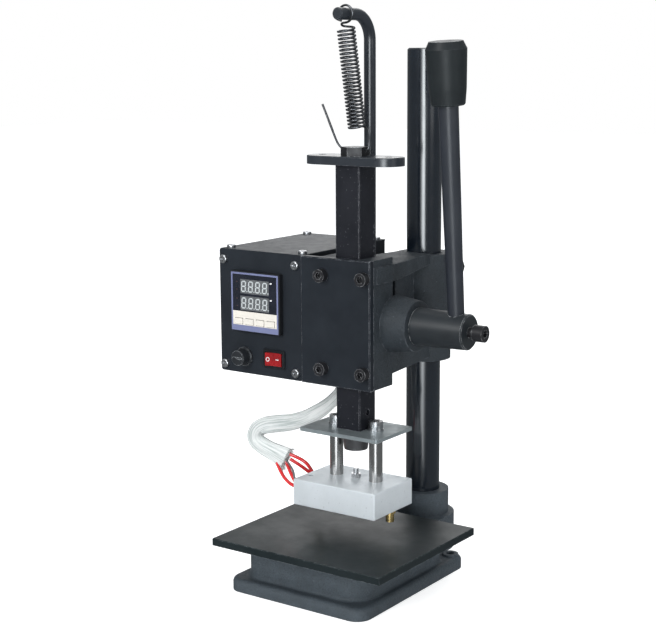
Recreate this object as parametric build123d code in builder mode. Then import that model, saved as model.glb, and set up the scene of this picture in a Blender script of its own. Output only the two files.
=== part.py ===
from build123d import *
import math
import os

os.makedirs("parts", exist_ok=True)

# Bench hot foil stamper, millimetres. +X right, +Y back, +Z up.
# Origin: on the ram's axis, on the underside.

FIT = 0.05  # radial clearance of shafts, screws and the ram's slot

# base and table
BASE_X = -6  # the base reaches further out on the control box's side
FLANGE_HALF_X = 63
FLANGE_FRONT = -77
FLANGE_BACK = 75
FLANGE_T = 10
FLANGE_ROUND = 3.8
ROOT_ROUND = 2.4
BODY_HALF_X = 56.5
BODY_FRONT = -68
BODY_BACK = 52
BODY_TOP = 36
BASE_WALL = 8
RIB_T = 8
BOLT_X = 54
BOLT_Y = 64
BOLT_HOLE_R = 3.25
TABLE_HALF_X = 77
TABLE_FRONT = -84
TABLE_BACK = 51
TABLE_T = 5.8
TABLE_TOP = BODY_TOP + TABLE_T
TABLE_SCREW_X = 30
TABLE_SCREW_Y = (-40, 24)

# column
COLUMN_Y = 99
COLUMN_R = 14
COLUMN_TOP = 413
SOCKET_R = 21.7
SOCKET_TOP = 50
SHOULDER_R = 26.5
SHOULDER_TOP = 30

# head
HEAD_HALF_X = 24
HEAD_BOTTOM = 157
HEAD_TOP = 256.5
HEAD_BACK = 15
RAM_HALF = 11
SLEEVE_R = 22.4
SLEEVE_BOTTOM = 162
SLEEVE_TOP = 249
ARM_TOP = 250.5
CLAMP_Y = 128.5
CLAMP_HALF_X = 11.8
CLAMP_Z = (178, 234)
PLATE_T = 5.5
PLATE_LEFT = -40
PLATE_RIGHT = 24
PLATE_SCREW_X = 19
PLATE_SCREW_Z = (170.5, 243)

# rack and pinion
MODULE = 1.5
TEETH = 12
PITCH_R = MODULE * TEETH / 2
PRESSURE = math.radians(20)
RACK_ADDENDUM = 0.7 * MODULE
PINION_ADDENDUM = 0.8 * MODULE
TOOTH_GAP = 0.25 * MODULE
BACKLASH = 0.06
PITCH_Y = RAM_HALF - RACK_ADDENDUM
PINION_Y = PITCH_Y + PITCH_R
PINION_Z = 204.4
SHAFT_R = 8
SHAFT_SMALL_R = 6
BOSS_FACE_X = 44.5
HUB_END_X = 89.6

# ram and its ends
RAM_FOOT = 123.3
FOOT_NUT_LOW = 106.3
RAM_TOP = 326.6
STOP_T = 6.6
MOUNT_PLATE_T = 2.8
POST_X = 18.5
BLOCK_HALF_X = 38
BLOCK_FRONT = -31.5
BLOCK_BACK = 22
BLOCK_TOP = 82.9
BLOCK_BOTTOM = 62.2
HEATER_Y = (-17, 10)
HEATER_Z = 71.5
PROBE_Y = -25
PROBE_Z = 79
DIE_PIN_X = 33.5
DIE_PIN_Y = -3
DIE_PIN_END = 54

# hook rod and spring
ROD_Y = 20
ROD_R = 4.5
ROD_ARM_Z = 437.4
ROD_BEND_R = 19
ROD_END_Y = -23
WIRE_R = 0.85
COIL_R = 6.15
COIL_TURNS = 27
COIL_TOP = Vector(0, -11.5, 427)
COIL_BOTTOM = Vector(0, 2.5, 353.7)

# control box
SHEET = 1.2
BOX_LEFT = -121.5
BOX_RIGHT = -40
BOX_FRONT = -15
BOX_BACK = 103
BOX_BOTTOM = HEAD_BOTTOM
BOX_TOP = HEAD_TOP
PANEL_SCREW_X = (-117, -46)
PANEL_SCREW_Z = (163, 248)
COVER_SCREW_X = (-116.5, -45.5)
COVER_SCREW_Y = (-6, 97)
DISPLAY_X = -82.6
DISPLAY_Z = 216
BEZEL = 48.4
BEZEL_T = 5
KEY_X = (-98.5, -87.9, -77.3, -66.7)
KEY_Z = 200.3
KEY_SIZE = (7.6, 4.6)
KEY_TRAVEL = 0.5
ROCKER_X = -67.2
ROCKER_Z = 171.9
ROCKER_TILT = 8
FUSE_X = -96.9
FUSE_Z = 170.8
GROMMET_X = -50
GROMMET_Y = 60
GLAND_X = -95
GLAND_Z = 180

# free leads
SLEEVE_LEAD_R = 3.2
LEAD_R = 1.4
PROBE_LEAD_R = 0.8


def write(piece, label):
    piece.part.label = label
    export_step(piece.part, f"parts/{label}.step")


def x_plane(x, y, z):
    """Plane across X at a point: its local x is +Y and its local y is +Z."""
    return Plane(origin=(x, y, z), x_dir=(0, 1, 0), z_dir=(1, 0, 0))


def y_plane(x, y, z):
    """Plane across Y at a point: its local x is +X and its local y is +Z."""
    return Plane(origin=(x, y, z), x_dir=(1, 0, 0), z_dir=(0, -1, 0))


# ------------------------------------------------------------------ base
with BuildPart() as base_casting:
    with BuildSketch(Plane.XY):
        with Locations((BASE_X, (FLANGE_FRONT + FLANGE_BACK) / 2)):
            RectangleRounded(2 * FLANGE_HALF_X, FLANGE_BACK - FLANGE_FRONT, 12)
    extrude(amount=FLANGE_T)
    fillet(base_casting.faces().sort_by(Axis.Z)[-1].edges(), FLANGE_ROUND)
    with BuildSketch(Plane.XY) as body_outline:
        with Locations((BASE_X, (BODY_FRONT + BODY_BACK) / 2)):
            Rectangle(2 * BODY_HALF_X, BODY_BACK - BODY_FRONT)
        fillet(body_outline.vertices().group_by(Axis.Y)[0], radius=20)
        fillet(body_outline.vertices().group_by(Axis.Y)[-1], radius=12)
    extrude(amount=BODY_TOP)
    root_edges = base_casting.edges().filter_by(
        lambda edge: abs(edge.center().Z - FLANGE_T) < 0.01
        and abs(edge.center().X - BASE_X) < BODY_HALF_X + 0.5
        and BODY_FRONT - 0.5 < edge.center().Y < BODY_BACK + 0.5
    )
    fillet(root_edges, ROOT_ROUND)
    with BuildSketch(Plane.XY):
        with Locations((0, COLUMN_Y)):
            Circle(SHOULDER_R)
        with Locations((0, (BODY_BACK + COLUMN_Y) / 2 - 5)):
            Rectangle(2 * SHOULDER_R, COLUMN_Y - BODY_BACK + 10)
    extrude(amount=SHOULDER_TOP)
    with BuildSketch(Plane.XY.offset(SHOULDER_TOP)):
        with Locations((0, COLUMN_Y)):
            Circle(SOCKET_R)
    extrude(amount=SOCKET_TOP - SHOULDER_TOP)
    bolt_places = ((BASE_X - BOLT_X, BOLT_Y), (BASE_X + BOLT_X, BOLT_Y))
    with BuildSketch(Plane.XY.offset(FLANGE_T / 2)):
        with Locations(*bolt_places):
            Circle(6.5)
    extrude(amount=FLANGE_T / 2 + 1.5)
    # hollow underside with posts for the table screws
    with BuildSketch(Plane.XY):
        with Locations((BASE_X, (BODY_FRONT + BODY_BACK) / 2)):
            RectangleRounded(
                2 * (BODY_HALF_X - BASE_WALL), BODY_BACK - BODY_FRONT - 2 * BASE_WALL, 14
            )
    extrude(amount=BODY_TOP - BASE_WALL, mode=Mode.SUBTRACT)
    # a rib across the hollow, under the ram
    with BuildSketch(Plane.XY):
        with Locations((BASE_X, 0)):
            Rectangle(2 * (BODY_HALF_X - BASE_WALL) + 1, RIB_T)
    extrude(amount=BODY_TOP - BASE_WALL + 0.5)
    with BuildSketch(Plane.XY.offset(20)):
        with Locations(*[(x, y) for x in (-TABLE_SCREW_X, TABLE_SCREW_X) for y in TABLE_SCREW_Y]):
            Circle(8)
    extrude(amount=BODY_TOP - 20)
    with BuildSketch(Plane.XY.offset(20)):
        with Locations(*[(x, y) for x in (-TABLE_SCREW_X, TABLE_SCREW_X) for y in TABLE_SCREW_Y]):
            Circle(3 + FIT)
    extrude(amount=BODY_TOP - 20, mode=Mode.SUBTRACT)
    with BuildSketch(Plane.XY):
        with Locations(*bolt_places):
            Circle(BOLT_HOLE_R)
    extrude(amount=FLANGE_T + 2, mode=Mode.SUBTRACT)
    with BuildSketch(Plane.XY.offset(8)):
        with Locations((0, COLUMN_Y)):
            Circle(COLUMN_R + FIT)
    extrude(amount=SOCKET_TOP, mode=Mode.SUBTRACT)
    with BuildSketch(y_plane(0, COLUMN_Y + SHOULDER_R, 40)):
        Circle(4 + FIT)
    extrude(amount=SHOULDER_R, mode=Mode.SUBTRACT)
write(base_casting, "base_casting")

with BuildPart() as table_plate:
    with BuildSketch(Plane.XY.offset(BODY_TOP)):
        with Locations((0, (TABLE_FRONT + TABLE_BACK) / 2)):
            Rectangle(2 * TABLE_HALF_X, TABLE_BACK - TABLE_FRONT)
    extrude(amount=TABLE_T)
    chamfer(table_plate.faces().sort_by(Axis.Z)[-1].edges(), 0.4)
    with BuildSketch(Plane.XY.offset(BODY_TOP)):
        with Locations(*[(x, y) for x in (-TABLE_SCREW_X, TABLE_SCREW_X) for y in TABLE_SCREW_Y]):
            Circle(3 + FIT)
    extrude(amount=4.5, mode=Mode.SUBTRACT)
write(table_plate, "table_plate")


def cap_screws(planes, shank_r, head_r, head_h, length, key_r):
    """Socket cap screws: each plane sits under a head, its normal pointing out of the head."""
    with BuildPart() as screws:
        for plane in planes:
            with BuildSketch(plane):
                Circle(head_r)
            extrude(amount=head_h)
            with BuildSketch(plane):
                Circle(shank_r)
            extrude(amount=-length)
            with BuildSketch(plane.offset(head_h)):
                RegularPolygon(key_r, 6)
            extrude(amount=-0.55 * head_h, mode=Mode.SUBTRACT)
    return screws


table_screws = cap_screws(
    [
        Plane(origin=(x, y, 20), z_dir=(0, 0, -1))
        for x in (-TABLE_SCREW_X, TABLE_SCREW_X)
        for y in TABLE_SCREW_Y
    ],
    3,
    5,
    6,
    20,
    2.7,
)
write(table_screws, "table_screws")

with BuildPart() as column_set_screw:
    with BuildSketch(y_plane(0, COLUMN_Y + SOCKET_R - 1, 40)):
        Circle(4)
    extrude(amount=SOCKET_R - 1 - COLUMN_R - FIT)
    with BuildSketch(y_plane(0, COLUMN_Y + SOCKET_R - 1, 40)):
        RegularPolygon(2.2, 6)
    extrude(amount=3, mode=Mode.SUBTRACT)
write(column_set_screw, "column_set_screw")

with BuildPart() as column:
    with BuildSketch(Plane.XY.offset(8 + FIT)):
        with Locations((0, COLUMN_Y)):
            Circle(COLUMN_R)
    extrude(amount=COLUMN_TOP - 8 - FIT)
    chamfer(column.edges().sort_by(Axis.Z)[-1], 1.0)
write(column, "column")

# ------------------------------------------------------------------ head casting
with BuildPart() as head_arms:
    # side outline of the two arms that join the guide block to the column sleeve
    with BuildSketch(x_plane(-HEAD_HALF_X, 0, 0)):
        with BuildLine():
            Polyline(
                (10, 238), (30, 238), (84, 242), (84, ARM_TOP), (10, ARM_TOP), close=True
            )
        make_face()
        with BuildLine():
            Polyline(
                (10, 166), (84, 166), (84, 190), (40, PINION_Z), (10, PINION_Z), close=True
            )
        make_face()
    extrude(amount=2 * HEAD_HALF_X)
    with BuildSketch(Plane.XY.offset(SLEEVE_BOTTOM)):
        with BuildLine():
            Polyline((-24, 10), (24, 10), (24, 16), (15.5, 84), (-15.5, 84), (-24, 16), close=True)
        make_face()
    extrude(amount=ARM_TOP - SLEEVE_BOTTOM, mode=Mode.INTERSECT)

with BuildPart() as head_casting:
    with BuildSketch(Plane.XY.offset(HEAD_BOTTOM)):
        with Locations((0, (HEAD_BACK - RAM_HALF) / 2)):
            Rectangle(2 * HEAD_HALF_X, HEAD_BACK + RAM_HALF)
    extrude(amount=HEAD_TOP - HEAD_BOTTOM)
    add(head_arms.part)
    # rib under the upper arm, in front of the sleeve
    with BuildSketch(Plane.XY.offset(180)):
        with Locations((0, 66)):
            Rectangle(8, 32)
    extrude(amount=62)
    # sleeve round the column and the split clamp ears behind it
    with BuildSketch(Plane.XY.offset(SLEEVE_BOTTOM)):
        with Locations((0, COLUMN_Y)):
            Circle(SLEEVE_R)
    extrude(amount=SLEEVE_TOP - SLEEVE_BOTTOM)
    with BuildSketch(Plane.XY.offset(SLEEVE_BOTTOM + 4)):
        with Locations((0, 124)):
            Rectangle(2 * CLAMP_HALF_X, 26)
    extrude(amount=SLEEVE_TOP - SLEEVE_BOTTOM - 7)
    # pinion housing: a barrel across the casting, a tapered boss on the right
    with BuildSketch(x_plane(BOX_RIGHT, PINION_Y, PINION_Z)):
        Circle(20)
    extrude(amount=HEAD_HALF_X - BOX_RIGHT)
    with BuildSketch(x_plane(HEAD_HALF_X, PINION_Y, PINION_Z)):
        Circle(22.4)
    extrude(amount=BOSS_FACE_X - HEAD_HALF_X, taper=8)
    # raised pad on the right flank of the block
    with BuildSketch(x_plane(HEAD_HALF_X, 3.5, 244.5)):
        Rectangle(23, 13)
    extrude(amount=1.2)
    # ram slot, open at the front where the guide plate closes it
    with BuildSketch(Plane.XY.offset(HEAD_BOTTOM - 1)):
        with Locations((0, -1)):
            Rectangle(2 * (RAM_HALF + FIT), 2 * (RAM_HALF + FIT) + 2)
    extrude(amount=HEAD_TOP - HEAD_BOTTOM + 2, mode=Mode.SUBTRACT)
    # bore for the pinion from the right, and the smaller left journal bore
    with BuildSketch(x_plane(-14, PINION_Y, PINION_Z)):
        Circle(11 + FIT)
    extrude(amount=BOSS_FACE_X + 20, mode=Mode.SUBTRACT)
    with BuildSketch(x_plane(BOX_RIGHT - 1, PINION_Y, PINION_Z)):
        Circle(9 + FIT)
    extrude(amount=30, mode=Mode.SUBTRACT)
    # column bore and clamp slit
    with BuildSketch(Plane.XY.offset(SLEEVE_BOTTOM - 5)):
        with Locations((0, COLUMN_Y)):
            Circle(COLUMN_R + FIT)
        with Locations((0, COLUMN_Y + 25)):
            Rectangle(3, 34)
    extrude(amount=100, mode=Mode.SUBTRACT)
    for z in CLAMP_Z:
        with BuildSketch(x_plane(-30, CLAMP_Y, z)):
            Circle(4 + FIT)
        extrude(amount=60, mode=Mode.SUBTRACT)
    for x in (-PLATE_SCREW_X, PLATE_SCREW_X):
        for z in PLATE_SCREW_Z:
            with BuildSketch(y_plane(x, -RAM_HALF - 1, z)):
                Circle(3 + FIT)
            extrude(amount=-14, mode=Mode.SUBTRACT)
    with BuildSketch(Plane.XY.offset(230)):
        with Locations((0, ROD_Y)):
            Circle(4 + FIT)
    extrude(amount=30, mode=Mode.SUBTRACT)
    with BuildSketch(x_plane(BOX_RIGHT - 1, PINION_Y, PINION_Z)):
        with PolarLocations(14.5, 3, start_angle=90):
            Circle(2 + FIT)
    extrude(amount=12, mode=Mode.SUBTRACT)
write(head_casting, "head_casting")

with BuildPart() as guide_plate:
    with BuildSketch(y_plane((PLATE_LEFT + PLATE_RIGHT) / 2, -RAM_HALF - 0.1, 0)):
        with Locations((0, (HEAD_BOTTOM + HEAD_TOP) / 2)):
            Rectangle(PLATE_RIGHT - PLATE_LEFT, HEAD_TOP - HEAD_BOTTOM)
    extrude(amount=PLATE_T)
    chamfer(guide_plate.faces().sort_by(Axis.Y)[0].edges(), 0.7)
    with BuildSketch(y_plane(0, 0, 0)):
        with Locations(*[(x, z) for x in (-PLATE_SCREW_X, PLATE_SCREW_X) for z in PLATE_SCREW_Z]):
            Circle(3 + FIT)
    extrude(amount=30, mode=Mode.SUBTRACT)
write(guide_plate, "guide_plate")

PLATE_FRONT = -RAM_HALF - 0.1 - PLATE_T
guide_plate_screws = cap_screws(
    [
        y_plane(x, PLATE_FRONT, z)
        for x in (-PLATE_SCREW_X, PLATE_SCREW_X)
        for z in PLATE_SCREW_Z
    ],
    3,
    5,
    6,
    16,
    2.9,
)
write(guide_plate_screws, "guide_plate_screws")

with BuildPart() as clamp_bolts:
    for z in CLAMP_Z:
        with BuildSketch(x_plane(CLAMP_HALF_X, CLAMP_Y, z)):
            RegularPolygon(6.5, 6, major_radius=False)
        extrude(amount=5.5)
        with BuildSketch(x_plane(CLAMP_HALF_X, CLAMP_Y, z)):
            Circle(4)
        extrude(amount=-2 * CLAMP_HALF_X - 9)
write(clamp_bolts, "clamp_bolts")

with BuildPart() as clamp_nuts:
    for z in CLAMP_Z:
        with BuildSketch(x_plane(-CLAMP_HALF_X, CLAMP_Y, z)):
            RegularPolygon(6.5, 6, major_radius=False)
            Circle(4 + FIT, mode=Mode.SUBTRACT)
        extrude(amount=-6.5)
write(clamp_nuts, "clamp_nuts")


def bush(x, length, outer_r, inner_r):
    with BuildPart() as ring:
        with BuildSketch(x_plane(x, PINION_Y, PINION_Z)):
            Circle(outer_r)
            Circle(inner_r, mode=Mode.SUBTRACT)
        extrude(amount=length)
    return ring


write(bush(12.5, BOSS_FACE_X - 12.5, 11, SHAFT_R + FIT), "pinion_bush_right")
write(bush(-33.5, 19.5, 9, SHAFT_SMALL_R + FIT), "pinion_bush_left")

# ------------------------------------------------------------------ pinion, hub and handle


def involute_half_angle(radius):
    """Half the angle that a pinion tooth covers at a radius."""
    base_r = PITCH_R * math.cos(PRESSURE)
    angle = math.acos(base_r / radius)
    at_pitch = (math.pi * MODULE / 4 - BACKLASH) / PITCH_R + math.tan(PRESSURE) - PRESSURE
    return at_pitch - (math.tan(angle) - angle)


def tooth_point(radius, side):
    angle = involute_half_angle(max(radius, PITCH_R * math.cos(PRESSURE))) * side
    return (radius * math.cos(angle), radius * math.sin(angle))


TIP_R = PITCH_R + PINION_ADDENDUM
ROOT_R = PITCH_R - RACK_ADDENDUM - TOOTH_GAP
BASE_R = PITCH_R * math.cos(PRESSURE)
MID_R = (TIP_R + BASE_R) / 2

with BuildSketch(Plane.XY) as tooth:
    with BuildLine():
        Line(tooth_point(ROOT_R - 0.5, 1), tooth_point(BASE_R, 1))
        ThreePointArc(tooth_point(BASE_R, 1), tooth_point(MID_R, 1), tooth_point(TIP_R, 1))
        ThreePointArc(tooth_point(TIP_R, 1), (TIP_R, 0), tooth_point(TIP_R, -1))
        ThreePointArc(tooth_point(TIP_R, -1), tooth_point(MID_R, -1), tooth_point(BASE_R, -1))
        Line(tooth_point(BASE_R, -1), tooth_point(ROOT_R - 0.5, -1))
        Line(tooth_point(ROOT_R - 0.5, -1), tooth_point(ROOT_R - 0.5, 1))
    make_face()

with BuildPart() as pinion_shaft:
    with BuildSketch(x_plane(-RAM_HALF, PINION_Y, PINION_Z)):
        Circle(ROOT_R)
        with PolarLocations(0, TEETH):
            add(tooth.sketch)
    extrude(amount=2 * RAM_HALF)
    with BuildSketch(x_plane(RAM_HALF, PINION_Y, PINION_Z)):
        Circle(SHAFT_R)
    extrude(amount=84 - RAM_HALF)
    with BuildSketch(x_plane(-RAM_HALF, PINION_Y, PINION_Z)):
        Circle(SHAFT_SMALL_R)
    extrude(amount=-25.5)
    with BuildSketch(x_plane(84, PINION_Y, PINION_Z)):
        Circle(4 + FIT)
    extrude(amount=-22, mode=Mode.SUBTRACT)
write(pinion_shaft, "pinion_shaft")

HANDLE_X = 78.5
HANDLE_LEAN = 5.2
HANDLE_AXIS = Vector(
    0, -math.sin(math.radians(HANDLE_LEAN)), math.cos(math.radians(HANDLE_LEAN))
)
HANDLE_FOOT = Vector(HANDLE_X, PINION_Y, PINION_Z)
SPOT_FACE = 11.5
HUB_START_X = BOSS_FACE_X + 0.5


def along_handle(distance):
    return Plane(
        origin=HANDLE_FOOT + HANDLE_AXIS * distance, x_dir=(1, 0, 0), z_dir=HANDLE_AXIS
    )


with BuildPart() as handle_hub:
    with BuildSketch(Plane(origin=(0, PINION_Y, PINION_Z), x_dir=(1, 0, 0), z_dir=(0, -1, 0))):
        with BuildLine():
            Polyline(
                (HUB_START_X, SHAFT_R + FIT),
                (HUB_START_X, 14.6),
                (HUB_END_X - 0.9, 13.6),
                (HUB_END_X, 12.7),
                (HUB_END_X, 4 + FIT),
                (84.3, 4 + FIT),
                (84.3, SHAFT_R + FIT),
                close=True,
            )
        make_face()
    revolve(axis=Axis((0, PINION_Y, PINION_Z), (1, 0, 0)))
    with BuildSketch(along_handle(SPOT_FACE)):
        Circle(6.2 + FIT)
    extrude(amount=5, mode=Mode.SUBTRACT)
    with BuildSketch(along_handle(6)):
        Circle(4 + FIT)
    extrude(amount=10, mode=Mode.SUBTRACT)
write(handle_hub, "handle_hub")

hub_bolt = cap_screws([x_plane(94.2, PINION_Y, PINION_Z)], 4, 6.3, 8.6, 28, 3.2)
write(hub_bolt, "hub_bolt")

GRIP_START = 168
GRIP_END = 213.5
with BuildPart() as handle_rod:
    with BuildSketch(along_handle(SPOT_FACE + FIT)):
        Circle(6.2)
    extrude(amount=GRIP_START - SPOT_FACE - FIT, taper=-0.47)
    with BuildSketch(along_handle(SHAFT_R + 0.4)):
        Circle(4)
    extrude(amount=5)
    with BuildSketch(along_handle(GRIP_START)):
        Circle(5)
    extrude(amount=34)
write(handle_rod, "handle_rod")

with BuildPart() as handle_grip:
    with BuildSketch(Plane(origin=HANDLE_FOOT, x_dir=(1, 0, 0), z_dir=Vector(1, 0, 0).cross(HANDLE_AXIS))):
        with BuildLine():
            Polyline(
                (0, GRIP_END),
                (12.4, GRIP_END),
                (15.1, GRIP_END - 5.5),
                (13.7, GRIP_START + 12),
                (12.5, GRIP_START + 1),
                (11.6, GRIP_START),
                (5 + FIT, GRIP_START),
                (5 + FIT, GRIP_START + 34.5),
                (0, GRIP_START + 34.5),
                close=True,
            )
        make_face()
    revolve(axis=Axis(HANDLE_FOOT, HANDLE_AXIS))
write(handle_grip, "handle_grip")

# ------------------------------------------------------------------ hook rod and spring
with BuildPart() as hook_rod:
    with BuildLine() as rod_path:
        FilletPolyline(
            (0, ROD_Y, ARM_TOP), (0, ROD_Y, ROD_ARM_Z), (0, ROD_END_Y, ROD_ARM_Z), radius=ROD_BEND_R
        )
    with BuildSketch(Plane.XY.offset(ARM_TOP)):
        with Locations((0, ROD_Y)):
            Circle(ROD_R)
    sweep()
    chamfer(hook_rod.edges().sort_by(Axis.Y)[0], 0.8)
    with BuildSketch(Plane.XY.offset(ARM_TOP)):
        with Locations((0, ROD_Y)):
            Circle(4)
    extrude(amount=-11)
write(hook_rod, "hook_rod")

COIL_AXIS = (COIL_TOP - COIL_BOTTOM).normalized()
COIL_LENGTH = (COIL_TOP - COIL_BOTTOM).length
HOOK_R = 6.2
HOOK_Y = -12
HOOK_ANGLES = range(-75, 255, 22)
WIRE_HOLE_Z = 337.4


with BuildPart() as return_spring:
    with BuildLine() as coil_path:
        Helix(
            pitch=COIL_LENGTH / COIL_TURNS,
            height=COIL_LENGTH,
            radius=COIL_R,
            center=COIL_BOTTOM,
            direction=COIL_AXIS,
        )
    with BuildSketch(Plane(origin=coil_path.line @ 0, z_dir=coil_path.line % 0)):
        Circle(WIRE_R)
    sweep(path=coil_path.line, is_frenet=True)
    # top hook over the rod's arm, and the lower end down through the ram bolt and up again
    hook_points = [
        (
            HOOK_R * math.cos(math.radians(angle)),
            HOOK_Y,
            ROD_ARM_Z + HOOK_R * math.sin(math.radians(angle)),
        )
        for angle in HOOK_ANGLES
    ]
    top_route = [coil_path.line @ 1, (-5.2, -9.2, 429.4), (-3.4, -11.6, 430.6), *hook_points]
    low_route = [
        coil_path.line @ 0,
        (6.0, 7.0, 353.0),
        (10.4, 3.6, 348.0),
        (12.2, 1.0, 342.0),
        (11.4, 0, 338.2),
        (9.5, 0, WIRE_HOLE_Z),
        (0, 0, WIRE_HOLE_Z),
        (-9.5, 0, WIRE_HOLE_Z),
        (-13.9, 0, 339.9),
        (-18.5, 0, 346.8),
        (-24.0, 0, 358.5),
        (-29.9, 0, 371.1),
    ]
    wires = (
        (top_route, (coil_path.line % 1, Vector(1, 0, -0.3))),
        (low_route, ((coil_path.line % 0) * -1, Vector(-1, 0, 2.1))),
    )
    for route, ends in wires:
        with BuildLine() as wire_path:
            Spline(*route, tangents=ends)
        with BuildSketch(Plane(origin=wire_path.line @ 0, z_dir=wire_path.line % 0)):
            Circle(WIRE_R)
        sweep(path=wire_path.line)
print("spring solids", len(return_spring.part.solids()), "volume", round(return_spring.part.volume))
write(return_spring, "return_spring")

# ------------------------------------------------------------------ ram
RACK_LOW = PINION_Z - 3.5 * math.pi * MODULE
RACK_SPACES = 19
with BuildPart() as ram:
    with BuildSketch(Plane.XY.offset(RAM_FOOT)):
        Rectangle(2 * RAM_HALF, 2 * RAM_HALF)
    extrude(amount=RAM_TOP - RAM_FOOT)
    chamfer(ram.edges().filter_by(Axis.Z), 0.8)
    with BuildSketch(Plane.XY.offset(RAM_FOOT)):
        Circle(7)
    extrude(amount=-(RAM_FOOT - FOOT_NUT_LOW - 1))
    with BuildSketch(Plane.XY.offset(RAM_TOP)):
        Circle(6 + FIT)
    extrude(amount=-28, mode=Mode.SUBTRACT)
    with BuildSketch(x_plane(RAM_HALF, 0, 136.3)):
        Circle(2.5)
    extrude(amount=-2, mode=Mode.SUBTRACT)
    half_space = math.pi * MODULE / 4 + BACKLASH
    root_y = PITCH_Y - PINION_ADDENDUM - TOOTH_GAP
    root_half = half_space - (PITCH_Y - root_y) * math.tan(PRESSURE)
    mouth_y = RAM_HALF + 1
    mouth_half = half_space + (mouth_y - PITCH_Y) * math.tan(PRESSURE)
    for index in range(RACK_SPACES):
        centre_z = PINION_Z + (index - 2) * math.pi * MODULE
        with BuildSketch(x_plane(-RAM_HALF - 1, 0, centre_z)):
            with BuildLine():
                Polyline(
                    (root_y, -root_half),
                    (mouth_y, -mouth_half),
                    (mouth_y, mouth_half),
                    (root_y, root_half),
                    close=True,
                )
            make_face()
        extrude(amount=2 * RAM_HALF + 2, mode=Mode.SUBTRACT)
write(ram, "ram")

with BuildPart() as stop_plate:
    with BuildSketch(Plane.XY.offset(RAM_TOP)):
        SlotOverall(83, 30)
        Circle(6 + FIT, mode=Mode.SUBTRACT)
        with Locations((-30, 0), (30, 0)):
            Circle(3, mode=Mode.SUBTRACT)
    extrude(amount=STOP_T)
    chamfer(stop_plate.faces().sort_by(Axis.Z)[-1].outer_wire().edges(), 0.6)
write(stop_plate, "stop_plate")

BOLT_SEAT = RAM_TOP + STOP_T
with BuildPart() as ram_bolt:
    with BuildSketch(Plane.XY.offset(BOLT_SEAT)):
        RegularPolygon(9.5, 6, major_radius=False, rotation=30)
    extrude(amount=6.8)
    with BuildSketch(Plane.XY.offset(BOLT_SEAT)):
        Circle(6)
    extrude(amount=-32)
    with BuildSketch(x_plane(-15, 0, BOLT_SEAT + 4.2)):
        Circle(1.3)
    extrude(amount=30, mode=Mode.SUBTRACT)
write(ram_bolt, "ram_bolt")

PLATE_LOW = RAM_FOOT - MOUNT_PLATE_T
with BuildPart() as mount_plate:
    with BuildSketch(Plane.XY.offset(PLATE_LOW)):
        RectangleRounded(72, 50.6, 1.5)
        Circle(7 + FIT, mode=Mode.SUBTRACT)
        with Locations((-POST_X, 0), (POST_X, 0)):
            Circle(3 + FIT, mode=Mode.SUBTRACT)
    extrude(amount=MOUNT_PLATE_T)
write(mount_plate, "mount_plate")

with BuildPart() as ram_foot_nut:
    with BuildSketch(Plane.XY.offset(PLATE_LOW)):
        Circle(11.4)
    extrude(amount=-(PLATE_LOW - FOOT_NUT_LOW), taper=9)
    with BuildSketch(Plane.XY.offset(PLATE_LOW)):
        Circle(7 + FIT)
    extrude(amount=-(PLATE_LOW - FOOT_NUT_LOW), mode=Mode.SUBTRACT)
write(ram_foot_nut, "ram_foot_nut")

with BuildPart() as spacer_posts:
    with BuildSketch(Plane.XY.offset(BLOCK_TOP)):
        with Locations((-POST_X, 0), (POST_X, 0)):
            Circle(5.3)
            Circle(3 + FIT, mode=Mode.SUBTRACT)
    extrude(amount=PLATE_LOW - BLOCK_TOP)
write(spacer_posts, "spacer_posts")

with BuildPart() as post_washers:
    with BuildSketch(Plane.XY.offset(RAM_FOOT)):
        with Locations((-POST_X, 0), (POST_X, 0)):
            Circle(6.2)
            Circle(3 + FIT, mode=Mode.SUBTRACT)
    extrude(amount=1.4)
write(post_washers, "post_washers")

post_screws = cap_screws(
    [Plane(origin=(x, 0, RAM_FOOT + 1.4), z_dir=(0, 0, 1)) for x in (-POST_X, POST_X)],
    3,
    5.6,
    6,
    50,
    2.9,
)
write(post_screws, "post_screws")

with BuildPart() as heating_block:
    with BuildSketch(Plane.XY.offset(BLOCK_BOTTOM)):
        with Locations((0, (BLOCK_FRONT + BLOCK_BACK) / 2)):
            Rectangle(2 * BLOCK_HALF_X, BLOCK_BACK - BLOCK_FRONT)
    extrude(amount=BLOCK_TOP - BLOCK_BOTTOM)
    chamfer(heating_block.edges(), 0.7)
    for y in HEATER_Y:
        with BuildSketch(x_plane(-BLOCK_HALF_X, y, HEATER_Z)):
            Circle(4 + FIT)
        extrude(amount=66, mode=Mode.SUBTRACT)
    with BuildSketch(x_plane(-BLOCK_HALF_X, PROBE_Y, PROBE_Z)):
        Circle(1.5)
    extrude(amount=24, mode=Mode.SUBTRACT)
    with BuildSketch(Plane.XY.offset(BLOCK_TOP)):
        with Locations((-POST_X, 0), (POST_X, 0)):
            Circle(3 + FIT)
    extrude(amount=-10, mode=Mode.SUBTRACT)
    with BuildSketch(Plane.XY.offset(BLOCK_TOP)):
        Circle(2 + FIT)
    extrude(amount=-9, mode=Mode.SUBTRACT)
    with BuildSketch(Plane.XY.offset(BLOCK_TOP)):
        with Locations((-31.6, -16.5)):
            Circle(2)
    extrude(amount=-4, mode=Mode.SUBTRACT)
    with BuildSketch(Plane.XY.offset(BLOCK_BOTTOM)):
        with Locations((-DIE_PIN_X, DIE_PIN_Y), (DIE_PIN_X, DIE_PIN_Y)):
            Circle(2.5 + FIT)
    extrude(amount=7, mode=Mode.SUBTRACT)
write(heating_block, "heating_block")

with BuildPart() as heater_cartridges:
    for y in HEATER_Y:
        with BuildSketch(x_plane(-BLOCK_HALF_X + 0.5, y, HEATER_Z)):
            Circle(4)
        extrude(amount=64)
write(heater_cartridges, "heater_cartridges")

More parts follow.
